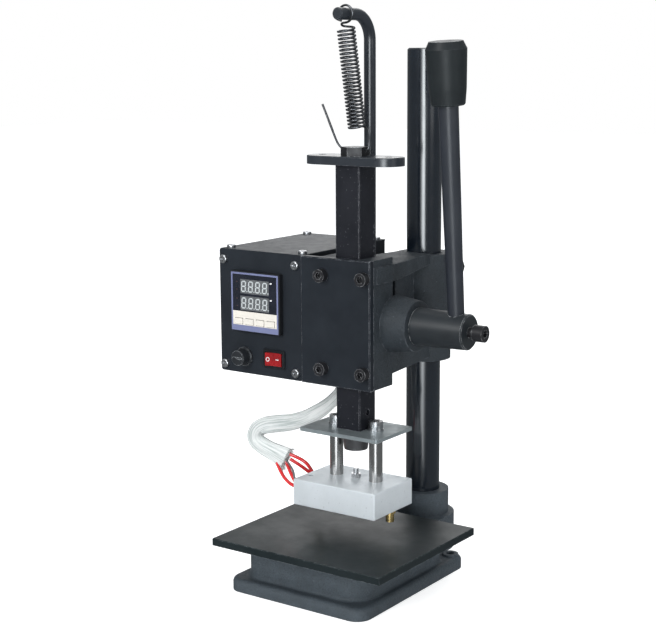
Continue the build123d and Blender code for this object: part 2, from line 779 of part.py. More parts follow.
with BuildPart() as centre_stud:
    with BuildSketch(Plane.XY.offset(BLOCK_TOP - 8.5)):
        Circle(2)
    extrude(amount=15.8)
write(centre_stud, "centre_stud")

with BuildPart() as stud_nut:
    with BuildSketch(Plane.XY.offset(BLOCK_TOP)):
        RegularPolygon(3.5, 6, major_radius=False)
        Circle(2 + FIT, mode=Mode.SUBTRACT)
    extrude(amount=3.2)
write(stud_nut, "stud_nut")

with BuildPart() as die_pins:
    for x in (-DIE_PIN_X, DIE_PIN_X):
        with BuildSketch(Plane.XY.offset(BLOCK_BOTTOM)):
            with Locations((x, DIE_PIN_Y)):
                Circle(3.2)
        extrude(amount=-(BLOCK_BOTTOM - DIE_PIN_END))
        with BuildSketch(Plane.XY.offset(BLOCK_BOTTOM)):
            with Locations((x, DIE_PIN_Y)):
                Circle(4.4)
        extrude(amount=-1.5)
        with BuildSketch(Plane.XY.offset(BLOCK_BOTTOM)):
            with Locations((x, DIE_PIN_Y)):
                Circle(2.5)
        extrude(amount=6.5)
write(die_pins, "die_pins")

# ------------------------------------------------------------------ control box
BOX_MID_X = (BOX_LEFT + BOX_RIGHT) / 2
BOX_W = BOX_RIGHT - BOX_LEFT
BODY_FRONT_Y = BOX_FRONT + SHEET
BOX_MID_Y = (BODY_FRONT_Y + BOX_BACK) / 2
BOX_D = BOX_BACK - BODY_FRONT_Y
COVER_LOW = BOX_TOP - SHEET

with BuildPart() as control_box_body:
    with BuildSketch(Plane.XY.offset(BOX_BOTTOM)):
        with Locations((BOX_MID_X, BOX_MID_Y)):
            Rectangle(BOX_W, BOX_D)
    extrude(amount=COVER_LOW - BOX_BOTTOM)
    fillet(control_box_body.edges().filter_by(Axis.Z).group_by(Axis.Y)[-1], 1.5)
    with BuildSketch(Plane.XY.offset(BOX_BOTTOM + SHEET)):
        with Locations((BOX_MID_X, BOX_MID_Y)):
            Rectangle(BOX_W - 2 * SHEET, BOX_D - 2 * SHEET)
    extrude(amount=200, mode=Mode.SUBTRACT)
    # front opening, leaving a flange at each side for the panel screws
    with BuildSketch(y_plane(BOX_MID_X, BODY_FRONT_Y + SHEET, (BOX_BOTTOM + COVER_LOW) / 2)):
        Rectangle(BOX_W - 22, COVER_LOW - BOX_BOTTOM - 2 * SHEET)
    extrude(amount=SHEET, mode=Mode.SUBTRACT)
    # top flanges for the cover screws
    with BuildSketch(Plane.XY.offset(COVER_LOW)):
        with Locations(
            (BOX_LEFT + 5.5, BOX_MID_Y + 5), (BOX_RIGHT - 5.5, BOX_MID_Y + 5)
        ):
            Rectangle(11 - 2 * SHEET + 1, BOX_D - 20)
        with Locations(*[(x, y) for x in COVER_SCREW_X for y in COVER_SCREW_Y]):
            Rectangle(9, 12)
    extrude(amount=-SHEET)
    with BuildSketch(Plane.XY.offset(COVER_LOW)):
        with Locations(*[(x, y) for x in COVER_SCREW_X for y in COVER_SCREW_Y]):
            Circle(1.5 + FIT)
    extrude(amount=-SHEET, mode=Mode.SUBTRACT)
    with BuildSketch(y_plane(0, BODY_FRONT_Y + SHEET, 0)):
        with Locations(*[(x, z) for x in PANEL_SCREW_X for z in PANEL_SCREW_Z]):
            Circle(1.5 + FIT)
    extrude(amount=SHEET, mode=Mode.SUBTRACT)
    with BuildSketch(Plane.XY.offset(BOX_BOTTOM)):
        with Locations((GROMMET_X, GROMMET_Y)):
            Circle(7 + FIT)
    extrude(amount=SHEET, mode=Mode.SUBTRACT)
    with BuildSketch(y_plane(GLAND_X, BOX_BACK, GLAND_Z)):
        Circle(6 + FIT)
    extrude(amount=4, mode=Mode.SUBTRACT)
    with BuildSketch(y_plane(GLAND_X, BOX_BACK - 4, GLAND_Z)):
        Circle(6 + FIT)
    extrude(amount=-5, mode=Mode.SUBTRACT)
    with BuildSketch(x_plane(BOX_RIGHT - SHEET, PINION_Y, PINION_Z)):
        Circle(9)
        with PolarLocations(14.5, 3, start_angle=90):
            Circle(2 + FIT)
    extrude(amount=SHEET, mode=Mode.SUBTRACT)
write(control_box_body, "control_box_body")

with BuildPart() as control_box_cover:
    with BuildSketch(Plane.XY.offset(COVER_LOW)):
        with Locations((BOX_MID_X, BOX_MID_Y)):
            Rectangle(BOX_W, BOX_D)
    extrude(amount=SHEET)
    chamfer(control_box_cover.faces().sort_by(Axis.Z)[-1].edges(), 0.4)
    with BuildSketch(Plane.XY.offset(COVER_LOW)):
        with Locations(*[(x, y) for x in COVER_SCREW_X for y in COVER_SCREW_Y]):
            Circle(1.5 + FIT)
    extrude(amount=SHEET, mode=Mode.SUBTRACT)
write(control_box_cover, "control_box_cover")

with BuildPart() as front_panel:
    with BuildSketch(y_plane(BOX_MID_X - 0.2, BODY_FRONT_Y, (BOX_BOTTOM + BOX_TOP) / 2)):
        RectangleRounded(BOX_W - 0.4, BOX_TOP - BOX_BOTTOM, 2)
    extrude(amount=SHEET)
    with BuildSketch(y_plane(0, BODY_FRONT_Y, 0)):
        with Locations((DISPLAY_X, DISPLAY_Z)):
            Rectangle(45, 45)
        with Locations((ROCKER_X, ROCKER_Z)):
            Rectangle(19, 12.8)
        with Locations((FUSE_X, FUSE_Z)):
            Circle(6 + FIT)
        with Locations(*[(x, z) for x in PANEL_SCREW_X for z in PANEL_SCREW_Z]):
            Circle(1.5 + FIT)
    extrude(amount=SHEET, mode=Mode.SUBTRACT)
write(front_panel, "front_panel")


def pan_screws(planes, shank_r, head_r, head_h, length):
    """Cross-recessed pan head screws: each plane sits under a head, its normal pointing out."""
    with BuildPart() as screws:
        for plane in planes:
            with BuildSketch(plane):
                Circle(head_r)
            extrude(amount=head_h)
            with BuildSketch(plane):
                Circle(shank_r)
            extrude(amount=-length)
            with BuildSketch(plane.offset(head_h)):
                Rectangle(head_r * 1.1, 0.7)
                Rectangle(0.7, head_r * 1.1)
            extrude(amount=-0.5 * head_h, mode=Mode.SUBTRACT)
        fillet(
            [e for e in screws.edges().filter_by(GeomType.CIRCLE) if abs(e.radius - head_r) < 0.01][1::2],
            0.4 * head_h,
        )
    return screws


panel_screws = pan_screws(
    [y_plane(x, BOX_FRONT, z) for x in PANEL_SCREW_X for z in PANEL_SCREW_Z], 1.5, 3.6, 2.4, 7
)
write(panel_screws, "panel_screws")
cover_screws = pan_screws(
    [Plane(origin=(x, y, BOX_TOP), z_dir=(0, 0, 1)) for x in COVER_SCREW_X for y in COVER_SCREW_Y],
    1.5,
    3.6,
    2.2,
    6,
)
write(cover_screws, "cover_screws")

mount_angles = [math.radians(90 + 120 * index) for index in range(3)]
box_mount_screws = cap_screws(
    [
        Plane(
            origin=(
                BOX_RIGHT - SHEET,
                PINION_Y + 14.5 * math.cos(angle),
                PINION_Z + 14.5 * math.sin(angle),
            ),
            x_dir=(0, 1, 0),
            z_dir=(-1, 0, 0),
        )
        for angle in mount_angles
    ],
    2,
    3.5,
    4,
    10,
    1.7,
)
write(box_mount_screws, "box_mount_screws")

# temperature controller
BEZEL_FRONT = BOX_FRONT - BEZEL_T
WINDOW_Z = 222
WINDOW_W = 45.2
WINDOW_H = 32
with BuildPart() as controller_bezel:
    with BuildSketch(y_plane(DISPLAY_X, BOX_FRONT, DISPLAY_Z)):
        RectangleRounded(BEZEL, BEZEL, 1.2)
    extrude(amount=BEZEL_T)
    chamfer(controller_bezel.faces().sort_by(Axis.Y)[0].edges(), 0.6)
    with BuildSketch(y_plane(0, BEZEL_FRONT, 0)):
        with Locations((DISPLAY_X, WINDOW_Z)):
            Rectangle(WINDOW_W + 0.1, WINDOW_H + 0.1)
    extrude(amount=-1.5, mode=Mode.SUBTRACT)
    with BuildSketch(y_plane(0, BEZEL_FRONT, 0)):
        with Locations(*[(x, KEY_Z) for x in KEY_X]):
            Rectangle(KEY_SIZE[0] + 0.3, KEY_SIZE[1] + 0.3)
    extrude(amount=-3.5, mode=Mode.SUBTRACT)
write(controller_bezel, "controller_bezel")

with BuildPart() as controller_body:
    with BuildSketch(y_plane(DISPLAY_X, BOX_FRONT, DISPLAY_Z)):
        Rectangle(44.8, 44.8)
    extrude(amount=-75)
    with BuildSketch(y_plane(DISPLAY_X, BOX_FRONT + 75, DISPLAY_Z)):
        Rectangle(38, 36)
    extrude(amount=-5)
write(controller_body, "controller_body")

with BuildPart() as display_window:
    with BuildSketch(y_plane(DISPLAY_X, BEZEL_FRONT + 1.5, WINDOW_Z)):
        Rectangle(WINDOW_W, WINDOW_H)
    extrude(amount=1.5)
write(display_window, "display_window")

for key_name, key_x in zip(("key_set", "key_shift", "key_down", "key_up"), KEY_X):
    with BuildPart() as controller_key:
        with BuildSketch(y_plane(key_x, BEZEL_FRONT - 0.7, KEY_Z)):
            RectangleRounded(KEY_SIZE[0], KEY_SIZE[1], 0.8)
        extrude(amount=-3.4)
        chamfer(controller_key.faces().sort_by(Axis.Y)[0].edges(), 0.25)
    write(controller_key, key_name)

# rocker switch
ROCKER_PIVOT_Y = -12
with BuildPart() as rocker_housing:
    with BuildSketch(y_plane(ROCKER_X, BOX_FRONT, ROCKER_Z)):
        RectangleRounded(21.4, 14.6, 1.2)
    extrude(amount=2)
    chamfer(rocker_housing.faces().sort_by(Axis.Y)[0].edges(), 0.5)
    with BuildSketch(y_plane(ROCKER_X, BOX_FRONT, ROCKER_Z)):
        Rectangle(18.8, 12.6)
    extrude(amount=-17)
    with BuildSketch(y_plane(ROCKER_X, BOX_FRONT - 2, ROCKER_Z)):
        Rectangle(17.2, 10.8)
    extrude(amount=-13, mode=Mode.SUBTRACT)
    with BuildSketch(y_plane(ROCKER_X, BOX_FRONT + 17, ROCKER_Z)):
        with Locations((-5, 0), (5, 0)):
            Rectangle(0.8, 6.3)
    extrude(amount=-8)
write(rocker_housing, "rocker_housing")

with BuildPart() as rocker_actuator:
    with BuildSketch(
        Plane(origin=(ROCKER_X, ROCKER_PIVOT_Y, ROCKER_Z - 5.2), z_dir=(0, 0, 1)).rotated(
            (0, 0, ROCKER_TILT)
        )
    ):
        with BuildLine():
            Polyline(
                (-7.2, -6.6), (0, -5.4), (7.2, -6.6), (7.2, -1), (2.5, 4), (-2.5, 4), (-7.2, -1), close=True
            )
        make_face()
    extrude(amount=10.4)
write(rocker_actuator, "rocker_actuator")

# fuse holder
with BuildPart() as fuse_holder:
    with BuildSketch(y_plane(FUSE_X, BOX_FRONT, FUSE_Z)):
        Circle(7.8)
    extrude(amount=2.4)
    chamfer(fuse_holder.faces().sort_by(Axis.Y)[0].edges(), 0.6)
    with BuildSketch(y_plane(FUSE_X, BOX_FRONT, FUSE_Z)):
        Circle(6)
    extrude(amount=-32)
    with BuildSketch(y_plane(FUSE_X, BOX_FRONT - 2.4, FUSE_Z)):
        Circle(4.6)
    extrude(amount=-30, mode=Mode.SUBTRACT)
write(fuse_holder, "fuse_holder")

with BuildPart() as fuse_cap:
    with BuildSketch(y_plane(FUSE_X, BOX_FRONT - 2.5, FUSE_Z)):
        Circle(6.3)
    extrude(amount=8)
    chamfer(fuse_cap.faces().sort_by(Axis.Y)[0].edges(), 0.6)
    with BuildSketch(y_plane(FUSE_X, BOX_FRONT - 2.5, FUSE_Z)):
        Circle(4.5)
    extrude(amount=-6)
    with BuildSketch(y_plane(FUSE_X, BOX_FRONT - 10.5, FUSE_Z)):
        Rectangle(9, 1.2)
    extrude(amount=-1.0, mode=Mode.SUBTRACT)
write(fuse_cap, "fuse_cap")

with BuildPart() as fuse:
    with BuildSketch(y_plane(FUSE_X, BOX_FRONT + 3.7, FUSE_Z)):
        Circle(2.5)
    extrude(amount=-20)
write(fuse, "fuse")

with BuildPart() as mains_gland:
    with BuildSketch(y_plane(GLAND_X, BOX_BACK, GLAND_Z)):
        RegularPolygon(8.5, 6, major_radius=False)
    extrude(amount=-4)
    with BuildSketch(y_plane(GLAND_X, BOX_BACK + 4, GLAND_Z)):
        Circle(7.4)
    extrude(amount=-9, taper=8)
    with BuildSketch(y_plane(GLAND_X, BOX_BACK, GLAND_Z)):
        Circle(6)
    extrude(amount=8)
    with BuildSketch(y_plane(GLAND_X, BOX_BACK + 20, GLAND_Z)):
        Circle(3.5)
    extrude(amount=40, mode=Mode.SUBTRACT)
write(mains_gland, "mains_gland")

with BuildPart() as cable_grommet:
    with BuildSketch(Plane.XY.offset(BOX_BOTTOM - 2.5)):
        with Locations((GROMMET_X, GROMMET_Y)):
            Circle(9)
            Circle(4.6, mode=Mode.SUBTRACT)
    extrude(amount=2.5)
    with BuildSketch(Plane.XY.offset(BOX_BOTTOM)):
        with Locations((GROMMET_X, GROMMET_Y)):
            Circle(7)
            Circle(4.6, mode=Mode.SUBTRACT)
    extrude(amount=SHEET)
    with BuildSketch(Plane.XY.offset(BOX_BOTTOM + SHEET)):
        with Locations((GROMMET_X, GROMMET_Y)):
            Circle(8.6)
            Circle(4.6, mode=Mode.SUBTRACT)
    extrude(amount=1.5)
write(cable_grommet, "cable_grommet")

with BuildPart() as terminal_block:
    with BuildSketch(Plane.XY.offset(BOX_BOTTOM + SHEET)):
        with Locations((-88, 75)):
            Rectangle(36, 17)
    extrude(amount=8)
    with BuildSketch(Plane.XY.offset(BOX_BOTTOM + SHEET + 8)):
        with Locations((-88, 75)):
            Rectangle(36, 11)
    extrude(amount=6)
    with BuildSketch(Plane.XY.offset(BOX_BOTTOM + SHEET + 14)):
        with Locations((-88, 75)):
            with GridLocations(8.5, 1, 4, 1):
                Circle(2)
    extrude(amount=-4, mode=Mode.SUBTRACT)
write(terminal_block, "terminal_block")

# ------------------------------------------------------------------ leads between the box and the block


def lead(label, points, radius):
    """A flexible lead: straight runs joined by the largest tangent arcs that fit."""
    route = [Vector(*point) for point in points]
    radii = []
    for before, corner, after in zip(route, route[1:], route[2:]):
        run = min((corner - before).length, (after - corner).length)
        turn = math.radians((corner - before).get_angle(after - corner))
        radii.append(0.45 * run / math.tan(turn / 2))
    with BuildPart() as tube:
        with BuildLine() as path:
            FilletPolyline(*route, radius=radii)
        length = path.wires()[0].length
        with BuildSketch(Plane(origin=path.line @ 0, z_dir=path.line % 0)):
            Circle(radius)
        sweep()
    expected = math.pi * radius**2 * length
    print(
        label,
        "length",
        round(length, 1),
        "radii",
        [round(r, 1) for r in radii],
        "volume ratio",
        round(tube.part.volume / expected, 4),
    )
    write(tube, label)


# the heater leads leave the box together in one braided sleeve
lead(
    "heater_sleeve",
    [
        (GROMMET_X, GROMMET_Y, 160),
        (-49.5, 58, 141),
        (-55, 46, 126),
        (-67, 33, 115.5),
        (-79, 23, 110.5),
        (-90, 16, 109.5),
        (-99, 10, 108),
        (-103, 6, 104.5),
        (-102.5, 2.5, 100),
        (-98, 0, 96.5),
        (-87, -1.8, 93.2),
        (-76, -3.2, 91),
        (-64.2, -4.9, 88.4),
    ],
    SLEEVE_LEAD_R,
)
# two leads to each heater, ending on its face
LEAD_END_X = -BLOCK_HALF_X + 0.4
REAR_Y, FRONT_Y = HEATER_Y[1], HEATER_Y[0]
LEADS = {
    "heater_lead_rear_a": [
        (-61.1, -4.5, 88.7),
        (-54.8, -1, 84.5),
        (-50.5, 5.5, 77.8),
        (-45.6, REAR_Y + 1.6, HEATER_Z),
        (LEAD_END_X, REAR_Y + 1.6, HEATER_Z),
    ],
    "heater_lead_rear_b": [
        (-62.4, -3, 92.2),
        (-55.5, -1.8, 90.4),
        (-48.6, 0.6, 86.6),
        (-46.4, 4.6, 79.6),
        (-45.2, REAR_Y - 1.6, HEATER_Z),
        (LEAD_END_X, REAR_Y - 1.6, HEATER_Z),
    ],
    "heater_lead_front_a": [
        (-63.6, -6.3, 86.3),
        (-58.1, -10, 82.3),
        (-52, -13.5, 77.3),
        (-45.8, FRONT_Y + 1.6, 71.9),
        (LEAD_END_X, FRONT_Y + 1.6, HEATER_Z),
    ],
    "heater_lead_front_b": [
        (-72, -7.5, 84.4),
        (-65.5, -11.5, 79.3),
        (-57.5, -15.5, 75),
        (-47.5, -18.4, 71.7),
        (LEAD_END_X, FRONT_Y - 1.6, HEATER_Z),
    ],
}
for lead_name, lead_points in LEADS.items():
    lead(lead_name, lead_points, LEAD_R)
lead(
    "thermocouple_lead",
    [
        (-61.5, -7.8, 87.6),
        (-54, -13.2, 86.2),
        (-47, -18.6, 83.8),
        (-42.5, -23.6, 79.6),
        (-36, PROBE_Y, PROBE_Z),
        (-29, PROBE_Y, PROBE_Z),
    ],
    PROBE_LEAD_R,
)
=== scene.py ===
"""The looks of a bench hot foil stamper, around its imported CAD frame. Lengths are written in mm."""

import math
import random

import bmesh
import bpy
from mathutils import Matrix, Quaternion, Vector
from mathutils.bvhtree import BVHTree


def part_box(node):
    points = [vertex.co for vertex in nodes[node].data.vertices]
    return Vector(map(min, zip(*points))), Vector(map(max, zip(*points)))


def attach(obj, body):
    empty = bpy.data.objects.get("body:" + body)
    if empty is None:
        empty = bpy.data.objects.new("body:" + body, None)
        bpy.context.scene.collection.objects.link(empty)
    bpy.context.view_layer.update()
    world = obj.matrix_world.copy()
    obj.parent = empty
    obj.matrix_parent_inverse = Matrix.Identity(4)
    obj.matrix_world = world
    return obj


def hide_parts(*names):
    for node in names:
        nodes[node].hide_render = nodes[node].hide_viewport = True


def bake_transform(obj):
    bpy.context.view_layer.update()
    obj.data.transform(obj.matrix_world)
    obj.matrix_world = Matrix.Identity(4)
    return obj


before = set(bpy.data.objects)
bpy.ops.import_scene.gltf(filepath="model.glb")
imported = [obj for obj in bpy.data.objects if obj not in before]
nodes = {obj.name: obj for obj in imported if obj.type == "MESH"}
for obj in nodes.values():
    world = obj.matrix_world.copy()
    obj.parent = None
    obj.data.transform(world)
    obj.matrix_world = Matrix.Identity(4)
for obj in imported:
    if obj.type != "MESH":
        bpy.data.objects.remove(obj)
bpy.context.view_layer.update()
MM = 0.001

scene = bpy.context.scene
scene.view_settings.view_transform = "Standard"


# ---------------------------------------------------------------- camera
def vec(x, y, z):
    return Vector((x * MM, y * MM, z * MM))


CAMERA_AT = vec(614.3, -898.9, 407.2)
CAMERA_AIM = vec(-12.04, -19.6, 212.54)
CAMERA_ROLL = math.radians(-0.36)
CAMERA_LENS = 79.2
SENSOR_WIDTH = 36
CLIP_NEAR, CLIP_FAR = 0.01, 50

camera = bpy.data.objects.new("camera", bpy.data.cameras.new("camera"))
scene.collection.objects.link(camera)
camera.location = CAMERA_AT
camera.rotation_mode = "QUATERNION"
aim = (CAMERA_AIM - CAMERA_AT).to_track_quat("-Z", "Y")
camera.rotation_quaternion = aim @ Quaternion((0, 0, 1), CAMERA_ROLL)
camera.data.sensor_width = SENSOR_WIDTH
camera.data.lens = CAMERA_LENS
camera.data.clip_start = CLIP_NEAR
camera.data.clip_end = CLIP_FAR
scene.camera = camera


# ---------------------------------------------------------------- materials
# how much of a noise's range a soft change of tone or gloss covers
SOFT = (0.35, 0.65)
WIDE = (0.3, 0.7)
BEVEL_SAMPLES = 6


class Nodes:
    """A material's node tree, with short calls for the nodes used here."""

    def __init__(self, name):
        self.material = bpy.data.materials.new(name)
        self.material.use_nodes = True
        self.tree = self.material.node_tree
        self.shader = next(n for n in self.tree.nodes if n.type == "BSDF_PRINCIPLED")

    def add(self, kind, **settings):
        node = self.tree.nodes.new(kind)
        for key, value in settings.items():
            setattr(node, key, value)
        return node

    def link(self, out, into):
        self.tree.links.new(out, into)

    def place(self, stretch=(1, 1, 1)):
        coord = self.add("ShaderNodeTexCoord")
        mapping = self.add("ShaderNodeMapping")
        mapping.inputs["Scale"].default_value = stretch
        self.link(coord.outputs["Object"], mapping.inputs["Vector"])
        return mapping.outputs["Vector"]

    def noise(self, where, scale, detail=3.0, rough=0.6):
        node = self.add("ShaderNodeTexNoise")
        node.inputs["Scale"].default_value = scale
        node.inputs["Detail"].default_value = detail
        node.inputs["Roughness"].default_value = rough
        self.link(where, node.inputs["Vector"])
        return node.outputs["Fac"]

    def spread(self, value, low, high, out_low=0.0, out_high=1.0):
        node = self.add("ShaderNodeMapRange")
        for key, number in (
            ("From Min", low),
            ("From Max", high),
            ("To Min", out_low),
            ("To Max", out_high),
        ):
            node.inputs[key].default_value = number
        self.link(value, node.inputs["Value"])
        return node.outputs["Result"]

    def mix(self, factor, first, second):
        node = self.add("ShaderNodeMix", data_type="RGBA")
        self.link(factor, node.inputs["Factor"])
        for value, socket in ((first, node.inputs[6]), (second, node.inputs[7])):
            if isinstance(value, tuple):
                socket.default_value = (*value, 1)
            else:
                self.link(value, socket)
        return node.outputs[2]

    def multiply(self, first, second):
        node = self.add("ShaderNodeMath", operation="MULTIPLY")
        self.link(first, node.inputs[0])
        self.link(second, node.inputs[1])
        return node.outputs["Value"]

    def bump(self, height, distance, strength=1.0, normal=None):
        node = self.add("ShaderNodeBump")
        node.inputs["Distance"].default_value = distance
        node.inputs["Strength"].default_value = strength
        self.link(height, node.inputs["Height"])
        if normal is not None:
            self.link(normal, node.inputs["Normal"])
        return node.outputs["Normal"]

    def edges(self, radius, low, high):
        """1 on edges and corners, 0 on flat surfaces."""
        rounded = self.add("ShaderNodeBevel", samples=BEVEL_SAMPLES)
        rounded.inputs["Radius"].default_value = radius
        plain = self.add("ShaderNodeNewGeometry")
        dot = self.add("ShaderNodeVectorMath", operation="DOT_PRODUCT")
        self.link(rounded.outputs["Normal"], dot.inputs[0])
        self.link(plain.outputs["Normal"], dot.inputs[1])
        return self.spread(dot.outputs["Value"], high, low)


def surface(
    name,
    color,
    second,
    rough=(0.4, 0.5),
    metal=0.0,
    patch=40.0,
    grain=900.0,
    grain_depth=0.00003,
    stretch=(1, 1, 1),
    edge_wear_and_highlight=None,
    edge_wear_and_highlight_radius=0.0005,
    coat=0.0,
    specular=0.5,
    speck=None,
):
    """A solid material: patchy colour and gloss, a fine grain, and lighter edges where asked: worn
    edges, and on some finishes a painted edge highlight.
    """
    n = Nodes(name)
    n.shader.inputs["Metallic"].default_value = metal
    n.shader.inputs["Coat Weight"].default_value = coat
    n.shader.inputs["Specular IOR Level"].default_value = specular
    where = n.place(stretch)
    plain = n.place()
    patches = n.noise(plain, patch, 4.0)
    tone = n.mix(n.spread(patches, *SOFT), color, second)
    fine = n.noise(where, grain, 3.0, 0.65)
    gloss = n.spread(n.noise(plain, patch * 3, 4.0), *SOFT, *rough)
    if speck is not None:
        spots = n.noise(plain, grain * 0.45, 1.0)
        tone = n.mix(n.spread(spots, 0.70, 0.76), tone, speck)
    # lighter edges: worn paint, and on the guide plate and the fuse holder also a painted highlight
    if edge_wear_and_highlight is not None:
        rim = n.edges(edge_wear_and_highlight_radius, 0.80, 0.985)
        broken = n.spread(n.noise(plain, 260.0, 4.0), 0.40, 0.62)
        tone = n.mix(n.multiply(rim, broken), tone, edge_wear_and_highlight)
    n.link(tone, n.shader.inputs["Base Color"])
    n.link(gloss, n.shader.inputs["Roughness"])
    n.link(n.bump(fine, grain_depth), n.shader.inputs["Normal"])
    return n.material


def cast_iron(name, tint):
    """Sand-cast iron under thin grey-black paint: pits, lumps, soft corners, rubbed high spots."""
    n = Nodes(name)
    plain = n.place()
    lumps = n.noise(plain, 75.0, 4.0)
    pits = n.noise(plain, 420.0, 4.0, 0.7)
    sand = n.noise(plain, 1300.0, 2.0, 0.6)
    tone = n.mix(n.spread(lumps, *SOFT), tint, tuple(1.28 * part for part in tint))
    tone = n.mix(n.spread(sand, 0.45, 0.30), tone, tuple(0.55 * part for part in tint))
    tone = n.mix(n.spread(pits, 0.66, 0.76), tone, (0.16, 0.18, 0.20))
    rim = n.edges(0.0012, 0.75, 0.98)
    broken = n.spread(n.noise(plain, 210.0, 4.0), 0.46, 0.64)
    tone = n.mix(n.multiply(rim, broken), tone, (0.14, 0.155, 0.18))
    n.link(tone, n.shader.inputs["Base Color"])
    n.link(n.spread(lumps, *WIDE, 0.50, 0.66), n.shader.inputs["Roughness"])
    n.shader.inputs["Specular IOR Level"].default_value = 0.4
    rounded = n.add("ShaderNodeBevel", samples=BEVEL_SAMPLES)
    rounded.inputs["Radius"].default_value = 0.0014
    normal = n.bump(lumps, 0.0016, 0.9, rounded.outputs["Normal"])
    normal = n.bump(pits, 0.0006, 1.0, normal)
    n.link(n.bump(sand, 0.0002, 1.0, normal), n.shader.inputs["Normal"])
    return n.material


def brushed(name, color, second, rough, depth=0.00002):
    """Metal with fine lines along X, from turning or milling."""
    return surface(
        name, color, second, rough=rough, metal=1.0, grain=1400.0, grain_depth=depth,
        stretch=(0.02, 1.0, 1.0), patch=35.0,
    )


cast = cast_iron("cast_iron_paint", (0.044, 0.056, 0.067))
cast_dark = cast_iron("cast_iron_head", (0.021, 0.027, 0.033))
# the guide plate's light edges are partly worn paint, partly a painted highlight along its edges
plate_black = surface(
    "plate_black", (0.009, 0.012, 0.017), (0.013, 0.017, 0.023), rough=(0.42, 0.52),
    grain=1100, grain_depth=0.00002, edge_wear_and_highlight=(0.52, 0.54, 0.58), edge_wear_and_highlight_radius=0.0007, specular=0.25,
)
sheet_black = surface(
    "sheet_black", (0.009, 0.012, 0.017), (0.012, 0.016, 0.022), rough=(0.44, 0.52),
    grain=1600, grain_depth=0.00005, edge_wear_and_highlight=(0.05, 0.055, 0.06), edge_wear_and_highlight_radius=0.0004, specular=0.3,
)
table_black = surface(
    "table_black", (0.009, 0.014, 0.016), (0.013, 0.019, 0.021), rough=(0.38, 0.45),
    grain=900, grain_depth=0.00002, edge_wear_and_highlight=(0.30, 0.33, 0.35), patch=20, specular=0.18,
)
ram_black = surface(
    "ram_black", (0.008, 0.009, 0.013), (0.012, 0.013, 0.018), rough=(0.36, 0.48),
    grain=1200, grain_depth=0.00002, edge_wear_and_highlight=(0.55, 0.56, 0.60), edge_wear_and_highlight_radius=0.0006, specular=0.25,
    speck=(0.10, 0.10, 0.11),
)
column_black = surface(
    "column_black", (0.003, 0.006, 0.011), (0.005, 0.009, 0.015), rough=(0.16, 0.21),
    grain=700, grain_depth=0.0000002, stretch=(1, 1, 0.03), edge_wear_and_highlight=(0.2, 0.2, 0.22),
    patch=22, specular=1.0,
)
rod_black = surface(
    "rod_black", (0.014, 0.018, 0.024), (0.020, 0.024, 0.032), rough=(0.26, 0.34),
    grain=900, grain_depth=0.000006, edge_wear_and_highlight=(0.25, 0.25, 0.27), patch=30, specular=0.7,
)
handle_black = surface(
    "handle_black", (0.014, 0.017, 0.024), (0.019, 0.023, 0.031), rough=(0.34, 0.42),
    grain=900, grain_depth=0.000008, edge_wear_and_highlight=(0.25, 0.25, 0.27), patch=30, specular=0.6,
)
hub_black = surface(
    "hub_black", (0.012, 0.015, 0.018), (0.017, 0.021, 0.025), rough=(0.36, 0.46),
    grain=800, grain_depth=0.00001, stretch=(0.05, 1, 1), edge_wear_and_highlight=(0.80, 0.82, 0.84),
    edge_wear_and_highlight_radius=0.0008, patch=40, specular=0.5,
)
screw_black = surface(
    "screw_black", (0.012, 0.012, 0.014), (0.020, 0.020, 0.023), rough=(0.34, 0.44), metal=0.2,
    grain=1800, grain_depth=0.00003, edge_wear_and_highlight=(0.60, 0.61, 0.63), edge_wear_and_highlight_radius=0.0005, specular=0.4,
)
spring_steel = surface(
    "spring_steel", (0.070, 0.074, 0.080), (0.13, 0.135, 0.145), rough=(0.25, 0.38), metal=0.9,
    grain=1500, grain_depth=0.000008, patch=90,
)
zinc = surface(
    "zinc", (0.62, 0.62, 0.63), (0.50, 0.51, 0.53), rough=(0.22, 0.36), metal=1.0,
    grain=2200, grain_depth=0.00001, patch=160,
)
plate_steel = surface(
    "plate_steel", (0.34, 0.385, 0.40), (0.27, 0.31, 0.325), rough=(0.34, 0.46), metal=0.6,
    grain=1500, grain_depth=0.00001, patch=55, edge_wear_and_highlight=(0.75, 0.78, 0.78), edge_wear_and_highlight_radius=0.0004,
)
post_steel = brushed(
    "post_steel", (0.50, 0.49, 0.48), (0.45, 0.44, 0.435), (0.20, 0.25), depth=0.000006,
)
dark_steel = surface(
    "dark_steel", (0.13, 0.13, 0.135), (0.19, 0.19, 0.195), rough=(0.30, 0.42), metal=0.85,
    grain=1500, grain_depth=0.00001, patch=80, edge_wear_and_highlight=(0.5, 0.5, 0.5),
)
shaft_steel = brushed("shaft_steel", (0.52, 0.52, 0.53), (0.42, 0.42, 0.44), (0.25, 0.35))
aluminium = surface(
    "aluminium", (0.74, 0.785, 0.82), (0.69, 0.735, 0.765), rough=(0.36, 0.50), metal=0.35,
    grain=900, grain_depth=0.00002, stretch=(0.06, 1, 1), patch=48,
    edge_wear_and_highlight=(0.86, 0.89, 0.92), edge_wear_and_highlight_radius=0.0005, speck=(0.62, 0.66, 0.69),
)
brass = surface(
    "brass", (0.90, 0.68, 0.30), (0.80, 0.58, 0.24), rough=(0.20, 0.32), metal=1.0,
    grain=1600, grain_depth=0.00001, stretch=(1, 1, 8), patch=120,
)
bronze = surface("bronze", (0.42, 0.27, 0.12), (0.34, 0.22, 0.10), rough=(0.4, 0.5), metal=1.0)
gloss_plastic = surface(
    "gloss_plastic", (0.006, 0.007, 0.009), (0.009, 0.010, 0.012), rough=(0.28, 0.38),
    grain=700, grain_depth=0.00001, edge_wear_and_highlight=(0.09, 0.10, 0.11), edge_wear_and_highlight_radius=0.0003, specular=0.35,
)
